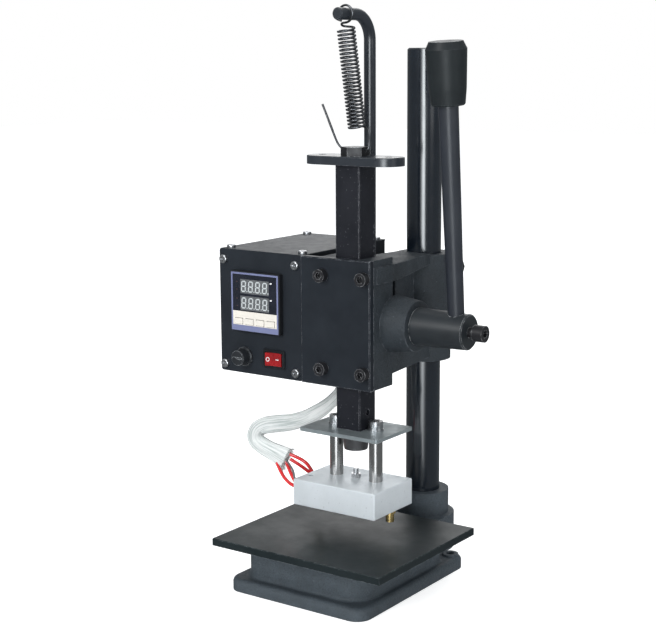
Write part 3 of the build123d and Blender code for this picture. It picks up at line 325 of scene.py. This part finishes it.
# the light rim on the fuse holder's and cap's edges is a painted highlight
fuse_plastic = surface(
    "fuse_plastic", (0.012, 0.014, 0.017), (0.018, 0.020, 0.024), rough=(0.34, 0.44),
    grain=700, grain_depth=0.00001, edge_wear_and_highlight=(0.62, 0.65, 0.68), edge_wear_and_highlight_radius=0.0006, specular=0.4,
)
grip_plastic = surface(
    "grip_plastic", (0.008, 0.011, 0.013), (0.011, 0.015, 0.017), rough=(0.40, 0.50),
    grain=500, grain_depth=0.00002, edge_wear_and_highlight=(0.30, 0.33, 0.35), edge_wear_and_highlight_radius=0.0006, specular=0.35,
)
cream = surface("cream", (0.66, 0.62, 0.56), (0.60, 0.57, 0.52), rough=(0.45, 0.55), grain=1800)
lavender = surface(
    "lavender", (0.15, 0.17, 0.30), (0.135, 0.15, 0.275), rough=(0.4, 0.5), grain=1800,
)
rubber = surface(
    "rubber", (0.010, 0.010, 0.010), (0.016, 0.016, 0.016), rough=(0.6, 0.7), grain=1800,
)
fuse_glass = surface("fuse_glass", (0.5, 0.5, 0.48), (0.44, 0.44, 0.42), rough=(0.1, 0.2))
silicone = surface(
    "silicone_red", (0.80, 0.030, 0.032), (0.70, 0.022, 0.026), rough=(0.22, 0.32),
    grain=900, grain_depth=0.00002, patch=140, coat=0.8,
)
probe_braid = surface(
    "probe_braid", (0.30, 0.30, 0.31), (0.20, 0.20, 0.21), rough=(0.4, 0.5), metal=0.6, grain=2500,
)
lamp_dark = surface("lamp_dark", (0.055, 0.03, 0.03), (0.045, 0.025, 0.025), rough=(0.3, 0.4))
fray_white = surface(
    "fray_white", (0.78, 0.80, 0.79), (0.66, 0.69, 0.68), rough=(0.5, 0.6), grain=1500,
)
white_mark = surface("white_mark", (0.80, 0.80, 0.80), (0.74, 0.74, 0.74), rough=(0.4, 0.5))


def red_rocker():
    """Glossy translucent red plastic."""
    n = Nodes("rocker_red")
    plain = n.place()
    patches = n.noise(plain, 200.0)
    tone = n.mix(n.spread(patches, *SOFT), (0.20, 0.003, 0.005), (0.30, 0.006, 0.008))
    n.link(tone, n.shader.inputs["Base Color"])
    n.link(n.spread(n.noise(plain, 500.0), *WIDE, 0.12, 0.22), n.shader.inputs["Roughness"])
    n.shader.inputs["Coat Weight"].default_value = 0.6
    n.shader.inputs["Subsurface Weight"].default_value = 0.15
    n.shader.inputs["Subsurface Radius"].default_value = (0.004, 0.001, 0.001)
    n.link(n.bump(n.noise(plain, 1500.0), 0.00001), n.shader.inputs["Normal"])
    return n.material


def window_glass():
    """The display's nearly black window."""
    n = Nodes("window_smoked")
    plain = n.place()
    patches = n.noise(plain, 60.0)
    tone = n.mix(n.spread(patches, 0.4, 0.6), (0.006, 0.008, 0.014), (0.010, 0.012, 0.020))
    n.link(tone, n.shader.inputs["Base Color"])
    n.link(n.spread(n.noise(plain, 300.0), *WIDE, 0.08, 0.16), n.shader.inputs["Roughness"])
    n.shader.inputs["Coat Weight"].default_value = 0.5
    n.link(n.bump(n.noise(plain, 900.0), 0.000004), n.shader.inputs["Normal"])
    return n.material


def segment_light(name, color, glow):
    """The pale segments of the digits, with a faint glow."""
    n = Nodes(name)
    plain = n.place()
    patches = n.noise(plain, 400.0)
    tone = n.mix(n.spread(patches, *SOFT), color, tuple(0.9 * part for part in color))
    n.link(tone, n.shader.inputs["Base Color"])
    n.link(tone, n.shader.inputs["Emission Color"])
    n.link(n.spread(n.noise(plain, 700.0), *WIDE, 0.4, 0.5), n.shader.inputs["Roughness"])
    n.shader.inputs["Emission Strength"].default_value = glow
    return n.material


def braid():
    """White glass-fibre sleeve: long strands with shaded grooves, crossed faintly."""
    n = Nodes("glass_braid")
    uv = n.add("ShaderNodeUVMap", uv_map="UVMap")
    stretched = n.add("ShaderNodeMapping")
    stretched.inputs["Scale"].default_value = (26.0, 3.0, 1.0)
    n.link(uv.outputs["UV"], stretched.inputs["Vector"])
    strands = n.noise(stretched.outputs["Vector"], 1.6, 4.0, 0.7)
    fine = n.add("ShaderNodeMapping")
    fine.inputs["Scale"].default_value = (140.0, 12.0, 1.0)
    n.link(uv.outputs["UV"], fine.inputs["Vector"])
    threads = n.noise(fine.outputs["Vector"], 1.0, 3.0, 0.6)
    tone = n.mix(n.spread(strands, 0.34, 0.56), (0.40, 0.45, 0.44), (0.80, 0.82, 0.81))
    tone = n.mix(n.spread(threads, 0.62, 0.80), tone, (0.94, 0.95, 0.94))
    n.link(tone, n.shader.inputs["Base Color"])
    n.link(n.spread(threads, *WIDE, 0.5, 0.7), n.shader.inputs["Roughness"])
    n.shader.inputs["Sheen Weight"].default_value = 0.4
    n.shader.inputs["Sheen Roughness"].default_value = 0.4
    normal = n.bump(strands, 0.0006, 0.9)
    n.link(n.bump(threads, 0.0002, 0.8, normal), n.shader.inputs["Normal"])
    return n.material


rocker_red = red_rocker()
smoked = window_glass()
digit_lit = segment_light("digit_segments", (0.46, 0.49, 0.50), 0.06)
digit_panel = surface(
    "digit_panel", (0.10, 0.105, 0.11), (0.085, 0.09, 0.095), rough=(0.3, 0.4),
)
braid_white = braid()


# ---------------------------------------------------------------- cords, on the CAD routes' points
CURVE_STEPS = 10
TUBE_STEPS = 6


def route_curve(name, points, bevel=0.0):
    """A tube, or a bare line, on one smooth spline through a route."""
    curve = bpy.data.curves.new(name, "CURVE")
    curve.dimensions = "3D"
    spline = curve.splines.new("NURBS")
    spline.points.add(len(points) - 1)
    for point, place in zip(spline.points, points):
        point.co = (*vec(*place), 1)
    spline.order_u = 3
    spline.use_endpoint_u = True
    spline.resolution_u = CURVE_STEPS
    curve.bevel_depth = bevel
    curve.bevel_resolution = TUBE_STEPS
    curve.use_fill_caps = True
    thing = bpy.data.objects.new(name, curve)
    scene.collection.objects.link(thing)
    return thing


def curve_length(thing):
    """The points along a curve without its bevel, and the length of the line through them."""
    keep = thing.data.bevel_depth
    thing.data.bevel_depth = 0
    mesh = bpy.data.meshes.new_from_object(
        thing.evaluated_get(bpy.context.evaluated_depsgraph_get())
    )
    thing.data.bevel_depth = keep
    line = [v.co.copy() for v in mesh.vertices]
    bpy.data.meshes.remove(mesh)
    return line, sum((b - a).length for a, b in zip(line, line[1:]))


def new_mesh(name, build, material, body, smooth=True):
    """A mesh object from a function that fills a bmesh."""
    mesh = bpy.data.meshes.new(name)
    made = bmesh.new()
    build(made)
    bmesh.ops.recalc_face_normals(made, faces=made.faces)
    made.to_mesh(mesh)
    made.free()
    thing = bpy.data.objects.new(name, mesh)
    scene.collection.objects.link(thing)
    mesh.materials.append(material)
    if smooth:
        mesh.shade_smooth()
    if body:
        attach(thing, body)
    return thing


SLEEVE_ROUTE = [
    (-50, 60, 160),
    (-49.5, 58, 141),
    (-55, 46, 126),
    (-67, 33, 115.5),
    (-79, 23, 110.5),
    (-90, 16, 109.5),
    (-99, 10, 108),
    (-103, 6, 104.5),
    (-102.5, 2.5, 100),
    (-98, 0, 96.5),
    (-87, -1.8, 93.2),
    (-76, -3.2, 91),
    (-64.2, -4.9, 88.4),
]
LEAD_ROUTES = {
    "heater_lead_rear_a": [
        (-61.1, -4.5, 88.7), (-54.8, -1, 84.5), (-50.5, 5.5, 77.8), (-45.6, 11.6, 71.5),
        (-37.6, 11.6, 71.5),
    ],
    "heater_lead_rear_b": [
        (-62.4, -3, 92.2), (-55.5, -1.8, 90.4), (-48.6, 0.6, 86.6), (-46.4, 4.6, 79.6),
        (-45.2, 8.4, 71.5), (-37.6, 8.4, 71.5),
    ],
    "heater_lead_front_a": [
        (-63.6, -6.3, 86.3), (-58.1, -10, 82.3), (-52, -13.5, 77.3), (-45.8, -15.4, 71.9),
        (-37.6, -15.4, 71.5),
    ],
    "heater_lead_front_b": [
        (-72, -7.5, 84.4), (-65.5, -11.5, 79.3), (-57.5, -15.5, 75), (-47.5, -18.4, 71.7),
        (-37.6, -18.6, 71.5),
    ],
}
PROBE_ROUTE = [
    (-61.5, -7.8, 87.6), (-54, -13.2, 86.2), (-47, -18.6, 83.8), (-42.5, -23.6, 79.6),
    (-36, -25, 79), (-29, -25, 79),
]
LEAD_WIDTH = 2.8
PROBE_WIDTH = 1.6


def block_lead(node, name, route, width, material):
    """A lead that runs from the sleeve's cut end into the heated block."""
    lead = route_curve(name, route, width / 2 * MM)
    lead.data.materials.append(material)
    _, length = curve_length(lead)
    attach(lead, "ram_assembly")
    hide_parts(node)


for lead_node, lead_route in LEAD_ROUTES.items():
    lead_name = lead_node + "_insulation"
    block_lead(lead_node, lead_name, lead_route, LEAD_WIDTH, silicone)
block_lead(
    "thermocouple_lead", "thermocouple_braid", PROBE_ROUTE, PROBE_WIDTH, probe_braid
)

# the braided sleeve: a flattened tube, round where it leaves the box, that flares at its cut end
SLEEVE_RINGS = 110
SLEEVE_SIDES = 64
SLEEVE_SEED = 4
STRAND_COUNT = 16
STRAND_DEPTH = 0.030
STRAND_UNEVEN = 0.012
SAG = 0.6
END_TUCK = 4
END_INSIDE = 0.80
FRAY_SEED = 9
FRAY_THREADS = 150
FRAY_RIM = (8.4, 2.0)
FRAY_ROOT = 0.8
FRAY_REACH = (1.6, 5.2)
FRAY_LEAN = 0.35
FRAY_BEND = 0.25
FRAY_RADII = (0.22, 0.18, 0.06)
FRAY_TURNS = (0, 2.094, 4.189)
# the side of the sleeve's flat that faces the front right
FACE_OUT = Vector((0.56, -0.80, 0.22)).normalized()
# share of the sleeve's length, its width and its thickness
WIDTHS = (
    (0.0, 8.4, 7.2),
    (0.14, 9.0, 5.6),
    (0.38, 12.6, 3.6),
    (0.58, 14.2, 3.4),
    (0.72, 13.2, 3.8),
    (0.86, 14.0, 3.8),
    (1.0, 17.4, 4.4),
)


def between(t, table, column):
    """The table's value at t, eased between its rows."""
    for a, b in zip(table, table[1:]):
        if t <= b[0]:
            share = (t - a[0]) / (b[0] - a[0])
            share = share * share * (3 - 2 * share)
            return a[column] + (b[column] - a[column]) * share
    return table[-1][column]


def walk(line, count):
    """Evenly spaced points along a line of points, with its direction at each."""
    steps = [0.0]
    for a, b in zip(line, line[1:]):
        steps.append(steps[-1] + (b - a).length)
    found = []
    index = 0
    for i in range(count):
        target = steps[-1] * i / (count - 1)
        while index < len(line) - 2 and steps[index + 1] < target:
            index += 1
        share = (target - steps[index]) / (steps[index + 1] - steps[index])
        found.append(line[index].lerp(line[index + 1], min(1.0, share)))
    ways = []
    for i in range(count):
        a, b = found[max(0, i - 2)], found[min(count - 1, i + 2)]
        ways.append((b - a).normalized())
    return found, ways


guide = route_curve("sleeve_guide", SLEEVE_ROUTE)
sleeve_line, sleeve_length = curve_length(guide)
bpy.data.objects.remove(guide)


def fill_sleeve(made):
    rng = random.Random(SLEEVE_SEED)
    places, ways = walk(sleeve_line, SLEEVE_RINGS)
    uv = made.loops.layers.uv.new("UVMap")
    strand = [rng.uniform(-1, 1) for _ in range(SLEEVE_SIDES)]
    rings = []
    for i, (place, way) in enumerate(zip(places, ways)):
        t = i / (SLEEVE_RINGS - 1)
        across = way.cross(FACE_OUT).normalized()
        out = across.cross(way).normalized()
        half_w = between(t, WIDTHS, 1) / 2 * MM
        half_t = between(t, WIDTHS, 2) / 2 * MM
        ring = []
        for k in range(SLEEVE_SIDES):
            turn = 2 * math.pi * k / SLEEVE_SIDES
            c, s = math.cos(turn), math.sin(turn)
            wave = math.cos(turn * STRAND_COUNT + 2.2 * math.sin(9 * t))
            ripple = 1 + STRAND_DEPTH * wave + STRAND_UNEVEN * strand[k]
            wide = math.copysign(abs(c) ** 0.85, c) * half_w
            thick = math.copysign(abs(s) ** 0.9, s) * half_t
            sag = SAG * MM * math.sin(5 * t + 3 * c)
            spot = place + across * wide * ripple + out * (thick * ripple + sag)
            ring.append(made.verts.new(spot))
        rings.append(ring)
    for i in range(SLEEVE_RINGS - 1):
        for k in range(SLEEVE_SIDES):
            j = (k + 1) % SLEEVE_SIDES
            face = made.faces.new((rings[i][k], rings[i][j], rings[i + 1][j], rings[i + 1][k]))
            steps = ((k, i), (k + 1, i), (k + 1, i + 1), (k, i + 1))
            for loop, (side, length) in zip(face.loops, steps):
                loop[uv].uv = (side / SLEEVE_SIDES, length / SLEEVE_RINGS)
    # the cut end turns in on itself, so that it reads as a hollow sleeve
    centre = places[-1] - ways[-1] * END_TUCK * MM
    inner = []
    for vertex in rings[-1]:
        inner.append(made.verts.new(centre + (vertex.co - places[-1]) * END_INSIDE))
    for k in range(SLEEVE_SIDES):
        j = (k + 1) % SLEEVE_SIDES
        made.faces.new((rings[-1][k], rings[-1][j], inner[j], inner[k]))
    made.faces.new(inner)
    made.faces.new(list(reversed(rings[0])))


def fill_fray(made):
    """Loose threads of glass that stand out of the sleeve's cut end."""
    rng = random.Random(FRAY_SEED)
    places, ways = walk(sleeve_line, SLEEVE_RINGS)
    end, onward = places[-1], ways[-1]
    across = onward.cross(FACE_OUT).normalized()
    out = across.cross(onward).normalized()
    for _ in range(FRAY_THREADS):
        turn = rng.uniform(0, 2 * math.pi)
        rim = across * math.cos(turn) * FRAY_RIM[0] * MM + out * math.sin(turn) * FRAY_RIM[1] * MM
        root = end + rim - onward * FRAY_ROOT * MM
        lean = Vector([rng.uniform(-1, 1) for _ in range(3)]) * FRAY_LEAN
        way = (onward + lean + rim.normalized() * 0.25).normalized()
        reach = rng.uniform(*FRAY_REACH) * MM
        side = way.cross(FACE_OUT).normalized()
        other = way.cross(side)
        bend = Vector([rng.uniform(-1, 1) for _ in range(3)]) * reach * FRAY_BEND
        sections = []
        centres = (root, root + way * reach * 0.5 + bend * 0.5, root + way * reach + bend)
        for place, radius in zip(centres, FRAY_RADII):
            spokes = [side * math.cos(a) + other * math.sin(a) for a in FRAY_TURNS]
            sections.append([made.verts.new(place + spoke * radius * MM) for spoke in spokes])
        for low, high in zip(sections, sections[1:]):
            for k in range(3):
                made.faces.new((low[k], low[(k + 1) % 3], high[(k + 1) % 3], high[k]))
        made.faces.new(list(reversed(sections[0])))
        made.faces.new(sections[-1])


sleeve = new_mesh("heater_sleeve_braid", fill_sleeve, braid_white, None)
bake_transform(sleeve)
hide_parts("heater_sleeve")
fray = new_mesh("heater_sleeve_fray", fill_fray, fray_white, "ram_assembly")

# ---------------------------------------------------------------- the CAD nodes' finishes
FINISHES = {
    "base_casting": cast, "head_casting": cast_dark,
    "table_plate": table_black, "guide_plate": plate_black, "stop_plate": rod_black,
    "control_box_body": sheet_black, "control_box_cover": sheet_black, "front_panel": sheet_black,
    "column": column_black, "hook_rod": rod_black, "handle_rod": handle_black,
    "handle_hub": hub_black, "hub_bolt": screw_black, "handle_grip": grip_plastic,
    "ram": ram_black, "ram_bolt": screw_black, "ram_foot_nut": dark_steel,
    "guide_plate_screws": screw_black, "post_screws": zinc, "post_washers": zinc,
    "table_screws": screw_black, "column_set_screw": screw_black, "clamp_bolts": screw_black,
    "clamp_nuts": screw_black, "panel_screws": zinc, "cover_screws": zinc,
    "box_mount_screws": zinc, "pinion_bush_left": bronze, "pinion_bush_right": bronze,
    "return_spring": spring_steel, "mount_plate": plate_steel, "spacer_posts": post_steel,
    "heating_block": aluminium, "heater_cartridges": shaft_steel, "centre_stud": zinc,
    "stud_nut": zinc, "die_pins": brass, "pinion_shaft": shaft_steel,
    "controller_body": gloss_plastic, "controller_bezel": gloss_plastic,
    "display_window": smoked, "key_set": cream, "key_shift": cream, "key_down": cream,
    "key_up": cream, "rocker_housing": gloss_plastic, "rocker_actuator": rocker_red,
    "fuse_holder": fuse_plastic, "fuse_cap": fuse_plastic, "fuse": fuse_glass,
    "cable_grommet": rubber, "mains_gland": gloss_plastic, "terminal_block": cream,
}
for node_name, finish in FINISHES.items():
    mesh = nodes[node_name].data
    mesh.materials.clear()
    mesh.materials.append(finish)

# the return spring between the hook rod on the head and the bolt on the ram, as a copy of its CAD
# mesh in world space
spring = bpy.data.objects.new("return_spring_wire", nodes["return_spring"].data.copy())
scene.collection.objects.link(spring)
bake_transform(spring)
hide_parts("return_spring")


# ---------------------------------------------------------------- display, keys and rocker marks
def grid_plate(name, xs, zs, holes, front, depth, material, body):
    """A flat plate across Y, on the grid of xs and zs, without the cells named in holes."""

    def build(made):
        corners = {}
        for i, x in enumerate(xs):
            for k, z in enumerate(zs):
                corners[i, k] = made.verts.new(vec(x, front, z))
        faces = []
        for i in range(len(xs) - 1):
            for k in range(len(zs) - 1):
                if (i, k) not in holes:
                    cell = ((i, k), (i + 1, k), (i + 1, k + 1), (i, k + 1))
                    faces.append(made.faces.new([corners[corner] for corner in cell]))
        grown = bmesh.ops.extrude_face_region(made, geom=faces)
        moved = [g for g in grown["geom"] if isinstance(g, bmesh.types.BMVert)]
        bmesh.ops.translate(made, verts=moved, vec=vec(0, depth, 0))
        loose = [v for v in made.verts if not v.link_faces]
        bmesh.ops.delete(made, geom=loose, context="VERTS")

    return new_mesh(name, build, material, body, smooth=False)


def outline_plates(name, outlines, front, depth, material, body):
    """Flat tiles across Y, one for each outline of (x, z) points."""

    def build(made):
        for outline in outlines:
            near = [made.verts.new(vec(x, front, z)) for x, z in outline]
            far = [made.verts.new(vec(x, front + depth, z)) for x, z in outline]
            made.faces.new(near)
            made.faces.new(list(reversed(far)))
            for k in range(len(outline)):
                j = (k + 1) % len(outline)
                made.faces.new((near[k], far[k], far[j], near[j]))

    return new_mesh(name, build, material, body, smooth=False)


bezel_low, bezel_high = (Vector(c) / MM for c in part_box("controller_bezel"))
FACE_X = (bezel_low.x + bezel_high.x) / 2
FACE_Z = (bezel_low.z + bezel_high.z) / 2
FACE_Y = bezel_low.y
LABEL_HALF = 23.3
LABEL_THICK = 0.22
INNER_HALF = LABEL_HALF - 1.4
WINDOW_LOW = -7.7
CREAM_LOW = -18.8
SURROUND_THICK = 0.14
KEY_GAP = 0.25

grid_plate(
    "display_label",
    [FACE_X - LABEL_HALF, FACE_X - INNER_HALF, FACE_X + INNER_HALF, FACE_X + LABEL_HALF],
    [FACE_Z - LABEL_HALF, FACE_Z + CREAM_LOW, FACE_Z + INNER_HALF, FACE_Z + LABEL_HALF],
    {(1, 1)}, FACE_Y - LABEL_THICK, LABEL_THICK, lavender, "head",
)
key_xs, key_zs = [], []
for key_name in ("key_set", "key_shift", "key_down", "key_up"):
    key_low, key_high = (Vector(c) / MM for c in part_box(key_name))
    key_xs += [key_low.x - KEY_GAP, key_high.x + KEY_GAP]
    key_zs = [key_low.z - KEY_GAP, key_high.z + KEY_GAP]
grid_plate(
    "key_surround",
    [FACE_X - INNER_HALF, *key_xs, FACE_X + INNER_HALF],
    [FACE_Z + CREAM_LOW, *key_zs, FACE_Z + WINDOW_LOW],
    {(1, 1), (3, 1), (5, 1), (7, 1)},
    FACE_Y - SURROUND_THICK, SURROUND_THICK, cream, "head",
)

# a digit's seven segments, as shares of its width and height: three across, then four upright
SEGMENTS = (
    ((0, 1), (1, 1)),
    ((0, 0.5), (1, 0.5)),
    ((0, 0), (1, 0)),
    ((0, 0), (0, 0.5)),
    ((0, 0.5), (0, 1)),
    ((1, 0), (1, 0.5)),
    ((1, 0.5), (1, 1)),
)
DIGIT_W, DIGIT_H, DIGIT_PITCH, STROKE = 3.7, 8.0, 7.0, 1.0
DIGITS_IN_ROW = 4
DIGIT_INSET = 1.2
SEGMENT_GAP = 0.12
SLANT = 0.07
DOT = 0.9
DOT_FROM_DIGIT = (1.3, -0.4)
ROWS = (12.35, -0.95)
PANEL_HALF = (14.2, 5.7)
MARK_FROM_ROW = (15.2, 3.6)
MARK_OUTLINE = ((0, 0), (1.9, 0.2), (1.9, 1.2), (0, 1.0))
LAMP_LEFT = -18.4
LAMP_DROPS = (3.0, -3.0)
LAMP_SIZE = (1.3, 0.7)
TILE_THICK = 0.08
DIGIT_FRONT, DIGIT_THICK = 0.15, 0.09


def rectangle(x, z, x_end, z_end):
    return [(x, z), (x_end, z), (x_end, z_end), (x, z_end)]


def digit_outlines(x, z):
    """The outlines of a digit's segments and of its decimal point, from its lower left corner."""
    outlines = []
    for (u0, v0), (u1, v1) in SEGMENTS:
        a = Vector((u0 * DIGIT_W, v0 * DIGIT_H))
        b = Vector((u1 * DIGIT_W, v1 * DIGIT_H))
        way = (b - a).normalized()
        side = Vector((-way.y, way.x)) * STROKE / 2
        a, b = a + way * SEGMENT_GAP, b - way * SEGMENT_GAP
        tip = way * STROKE / 2
        ring = (a, a + tip - side, b - tip - side, b, b - tip + side, a + tip + side)
        outlines.append([(x + p.x + SLANT * p.y, z + p.y) for p in ring])
    dot_x, dot_z = x + DIGIT_W + DOT_FROM_DIGIT[0], z + DOT_FROM_DIGIT[1]
    outlines.append(rectangle(dot_x, dot_z, dot_x + DOT, dot_z + DOT))
    return outlines


digits, panels, marks, lamps = [], [], [], []
for row in ROWS:
    middle = FACE_Z + row
    left, right = FACE_X - PANEL_HALF[0], FACE_X + PANEL_HALF[0]
    panels.append(rectangle(left, middle - PANEL_HALF[1], right, middle + PANEL_HALF[1]))
    for place in range(DIGITS_IN_ROW):
        digit_x = left + DIGIT_INSET + place * DIGIT_PITCH
        digits += digit_outlines(digit_x, middle - DIGIT_H / 2)
    mark_x, mark_z = FACE_X + MARK_FROM_ROW[0], middle + MARK_FROM_ROW[1]
    marks.append([(mark_x + x, mark_z + z) for x, z in MARK_OUTLINE])
    for drop in LAMP_DROPS:
        lamp_x, lamp_z = FACE_X + LAMP_LEFT, middle + drop
        lamps.append(rectangle(lamp_x, lamp_z, lamp_x + LAMP_SIZE[0], lamp_z + LAMP_SIZE[1]))
for tiles_name, tiles, front, thick, material in (
    ("digit_panels", panels, TILE_THICK, TILE_THICK, digit_panel),
    ("display_digits", digits, DIGIT_FRONT, DIGIT_THICK, digit_lit),
    ("display_marks", marks, TILE_THICK, TILE_THICK, white_mark),
    ("display_lamps", lamps, TILE_THICK, TILE_THICK, lamp_dark),
):
    outline_plates(tiles_name, tiles, FACE_Y - front, thick, material, "head")


RAY_START_Y = -60
MARK_OUTSIDE, MARK_INSIDE = 0.08, -0.02


def on_rocker(made, loops):
    """Thin marks that follow the rocker's face: each loop is an outer and an inner ring of (x, z)."""
    rocker = nodes["rocker_actuator"]
    tree = BVHTree.FromObject(rocker, bpy.context.evaluated_depsgraph_get())

    def drop(x, z):
        hit, normal, _, _ = tree.ray_cast(vec(x, RAY_START_Y, z), Vector((0, 1, 0)))
        return hit, normal

    for outer, inner in loops:
        rings = []
        for ring, lift in (
            (outer, MARK_OUTSIDE), (inner, MARK_OUTSIDE), (inner, MARK_INSIDE), (outer, MARK_INSIDE)
        ):
            verts = []
            for x, z in ring:
                hit, normal = drop(x, z)
                verts.append(made.verts.new(hit + normal * lift * MM))
            rings.append(verts)
        count = len(outer)
        for one, two in zip(rings, rings[1:] + rings[:1]):
            for k in range(count):
                j = (k + 1) % count
                made.faces.new((one[k], one[j], two[j], two[k]))


rocker_low, rocker_high = (Vector(c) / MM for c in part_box("rocker_actuator"))
ROCKER_X = (rocker_low.x + rocker_high.x) / 2
ROCKER_Z = (rocker_low.z + rocker_high.z) / 2


OFF_X, ON_X = ROCKER_X - 4.6, ROCKER_X + 3.6
OFF_RADII = (1.75, 1.25)
ON_HALVES = ((1.5, 0.32), (1.2, 0.04))
RING_POINTS = 28
RING_NARROW = 0.85


def ring_points(x, z, radius):
    turns = [2 * math.pi * k / RING_POINTS for k in range(RING_POINTS)]
    return [(x + radius * RING_NARROW * math.cos(a), z + radius * math.sin(a)) for a in turns]


def bar_points(x, z, half_w, half_h):
    return rectangle(x - half_w, z - half_h, x + half_w, z + half_h)


off_ring = [ring_points(OFF_X, ROCKER_Z, radius) for radius in OFF_RADII]
on_bar = [bar_points(ON_X, ROCKER_Z, *halves) for halves in ON_HALVES]


def fill_marks(made):
    on_rocker(made, (off_ring, on_bar))


new_mesh("rocker_marks", fill_marks, white_mark, "rocker", smooth=False)


# ---------------------------------------------------------------- stage
FLOOR_HALF = 6
FLOOR_GLOW = 0.72
floor_corners = [(x, y, 0) for x, y in rectangle(-FLOOR_HALF, -FLOOR_HALF, FLOOR_HALF, FLOOR_HALF)]
floor_mesh = bpy.data.meshes.new("floor")
floor_mesh.from_pydata(floor_corners, [], [(0, 1, 2, 3)])
floor = bpy.data.objects.new("floor", floor_mesh)
scene.collection.objects.link(floor)
floor_white = surface(
    "floor_white", (0.80, 0.80, 0.80), (0.79, 0.79, 0.79), rough=(0.7, 0.8), grain=40,
    grain_depth=0.0,
)
floor_shader = next(n for n in floor_white.node_tree.nodes if n.type == "BSDF_PRINCIPLED")
floor_shader.inputs["Emission Color"].default_value = (1, 1, 1, 1)
floor_shader.inputs["Emission Strength"].default_value = FLOOR_GLOW
floor_mesh.materials.append(floor_white)
floor.visible_glossy = False

world = bpy.data.worlds.new("world")
scene.world = world
world.use_nodes = True
tree = world.node_tree
background = next(n for n in tree.nodes if n.type == "BACKGROUND")
path_node = tree.nodes.new("ShaderNodeLightPath")


def world_node(kind, **values):
    """A node of the world. A value named _1 goes to the node's input number 1."""
    node = tree.nodes.new(kind)
    for key, value in values.items():
        if key in ("operation", "data_type"):
            setattr(node, key, value)
        else:
            node.inputs[int(key[1:])].default_value = value
    return node


# what the object reflects: a tall soft light near the camera, in a dim room that pales upwards
STRIP_TURN = math.radians(-63)
STRIP_LIGHT = 13.0
STRIP_FALLOFF = 46.0
sky = tree.nodes.new("ShaderNodeTexCoord")
STRIP_WAY = (math.cos(STRIP_TURN), math.sin(STRIP_TURN), 0)
facing = world_node("ShaderNodeVectorMath", operation="DOT_PRODUCT", _1=STRIP_WAY)
tree.links.new(sky.outputs["Generated"], facing.inputs[0])
lobe = world_node("ShaderNodeMath", operation="POWER", _1=STRIP_FALLOFF)
strip = world_node("ShaderNodeMath", operation="MULTIPLY", _1=STRIP_LIGHT)
front = world_node("ShaderNodeMath", operation="MAXIMUM", _1=0.0)
tree.links.new(facing.outputs["Value"], front.inputs[0])
tree.links.new(front.outputs[0], lobe.inputs[0])
tree.links.new(lobe.outputs[0], strip.inputs[0])
parts = tree.nodes.new("ShaderNodeSeparateXYZ")
tree.links.new(sky.outputs["Generated"], parts.inputs[0])
ceiling = world_node("ShaderNodeMapRange", _1=0.1, _2=0.9, _3=0.20, _4=0.55)
tree.links.new(parts.outputs["Z"], ceiling.inputs[0])
total = world_node("ShaderNodeMath", operation="ADD")
tree.links.new(strip.outputs[0], total.inputs[0])
tree.links.new(ceiling.outputs["Result"], total.inputs[1])
strength = world_node("ShaderNodeMix", data_type="FLOAT", _3=1.0)
tree.links.new(path_node.outputs["Is Camera Ray"], strength.inputs[0])
tree.links.new(total.outputs["Value"], strength.inputs[2])
tree.links.new(strength.outputs[0], background.inputs["Strength"])
tint = world_node("ShaderNodeMix", data_type="RGBA", _6=(0.92, 0.97, 1.0, 1), _7=(1, 1, 1, 1))
tree.links.new(path_node.outputs["Is Camera Ray"], tint.inputs[0])
tree.links.new(tint.outputs[2], background.inputs["Color"])


def softbox(name, place, aim_at, size, power):
    light = bpy.data.lights.new(name, "AREA")
    light.shape = "RECTANGLE"
    light.size, light.size_y = size
    light.energy = power
    thing = bpy.data.objects.new(name, light)
    scene.collection.objects.link(thing)
    thing.location = place
    thing.rotation_mode = "QUATERNION"
    thing.rotation_quaternion = (Vector(aim_at) - Vector(place)).to_track_quat("-Z", "Y")


MIDDLE = (0, 0, 0.22)
softbox("key", (-0.35, -2.0, 1.25), MIDDLE, (0.9, 0.9), 24)
softbox("overhead", (0.2, 0.2, 2.0), MIDDLE, (1.2, 1.2), 9)
softbox("right", (2.1, -0.2, 0.9), MIDDLE, (0.9, 1.2), 7)
softbox("back", (-0.9, 1.8, 1.0), MIDDLE, (1.2, 1.2), 8)
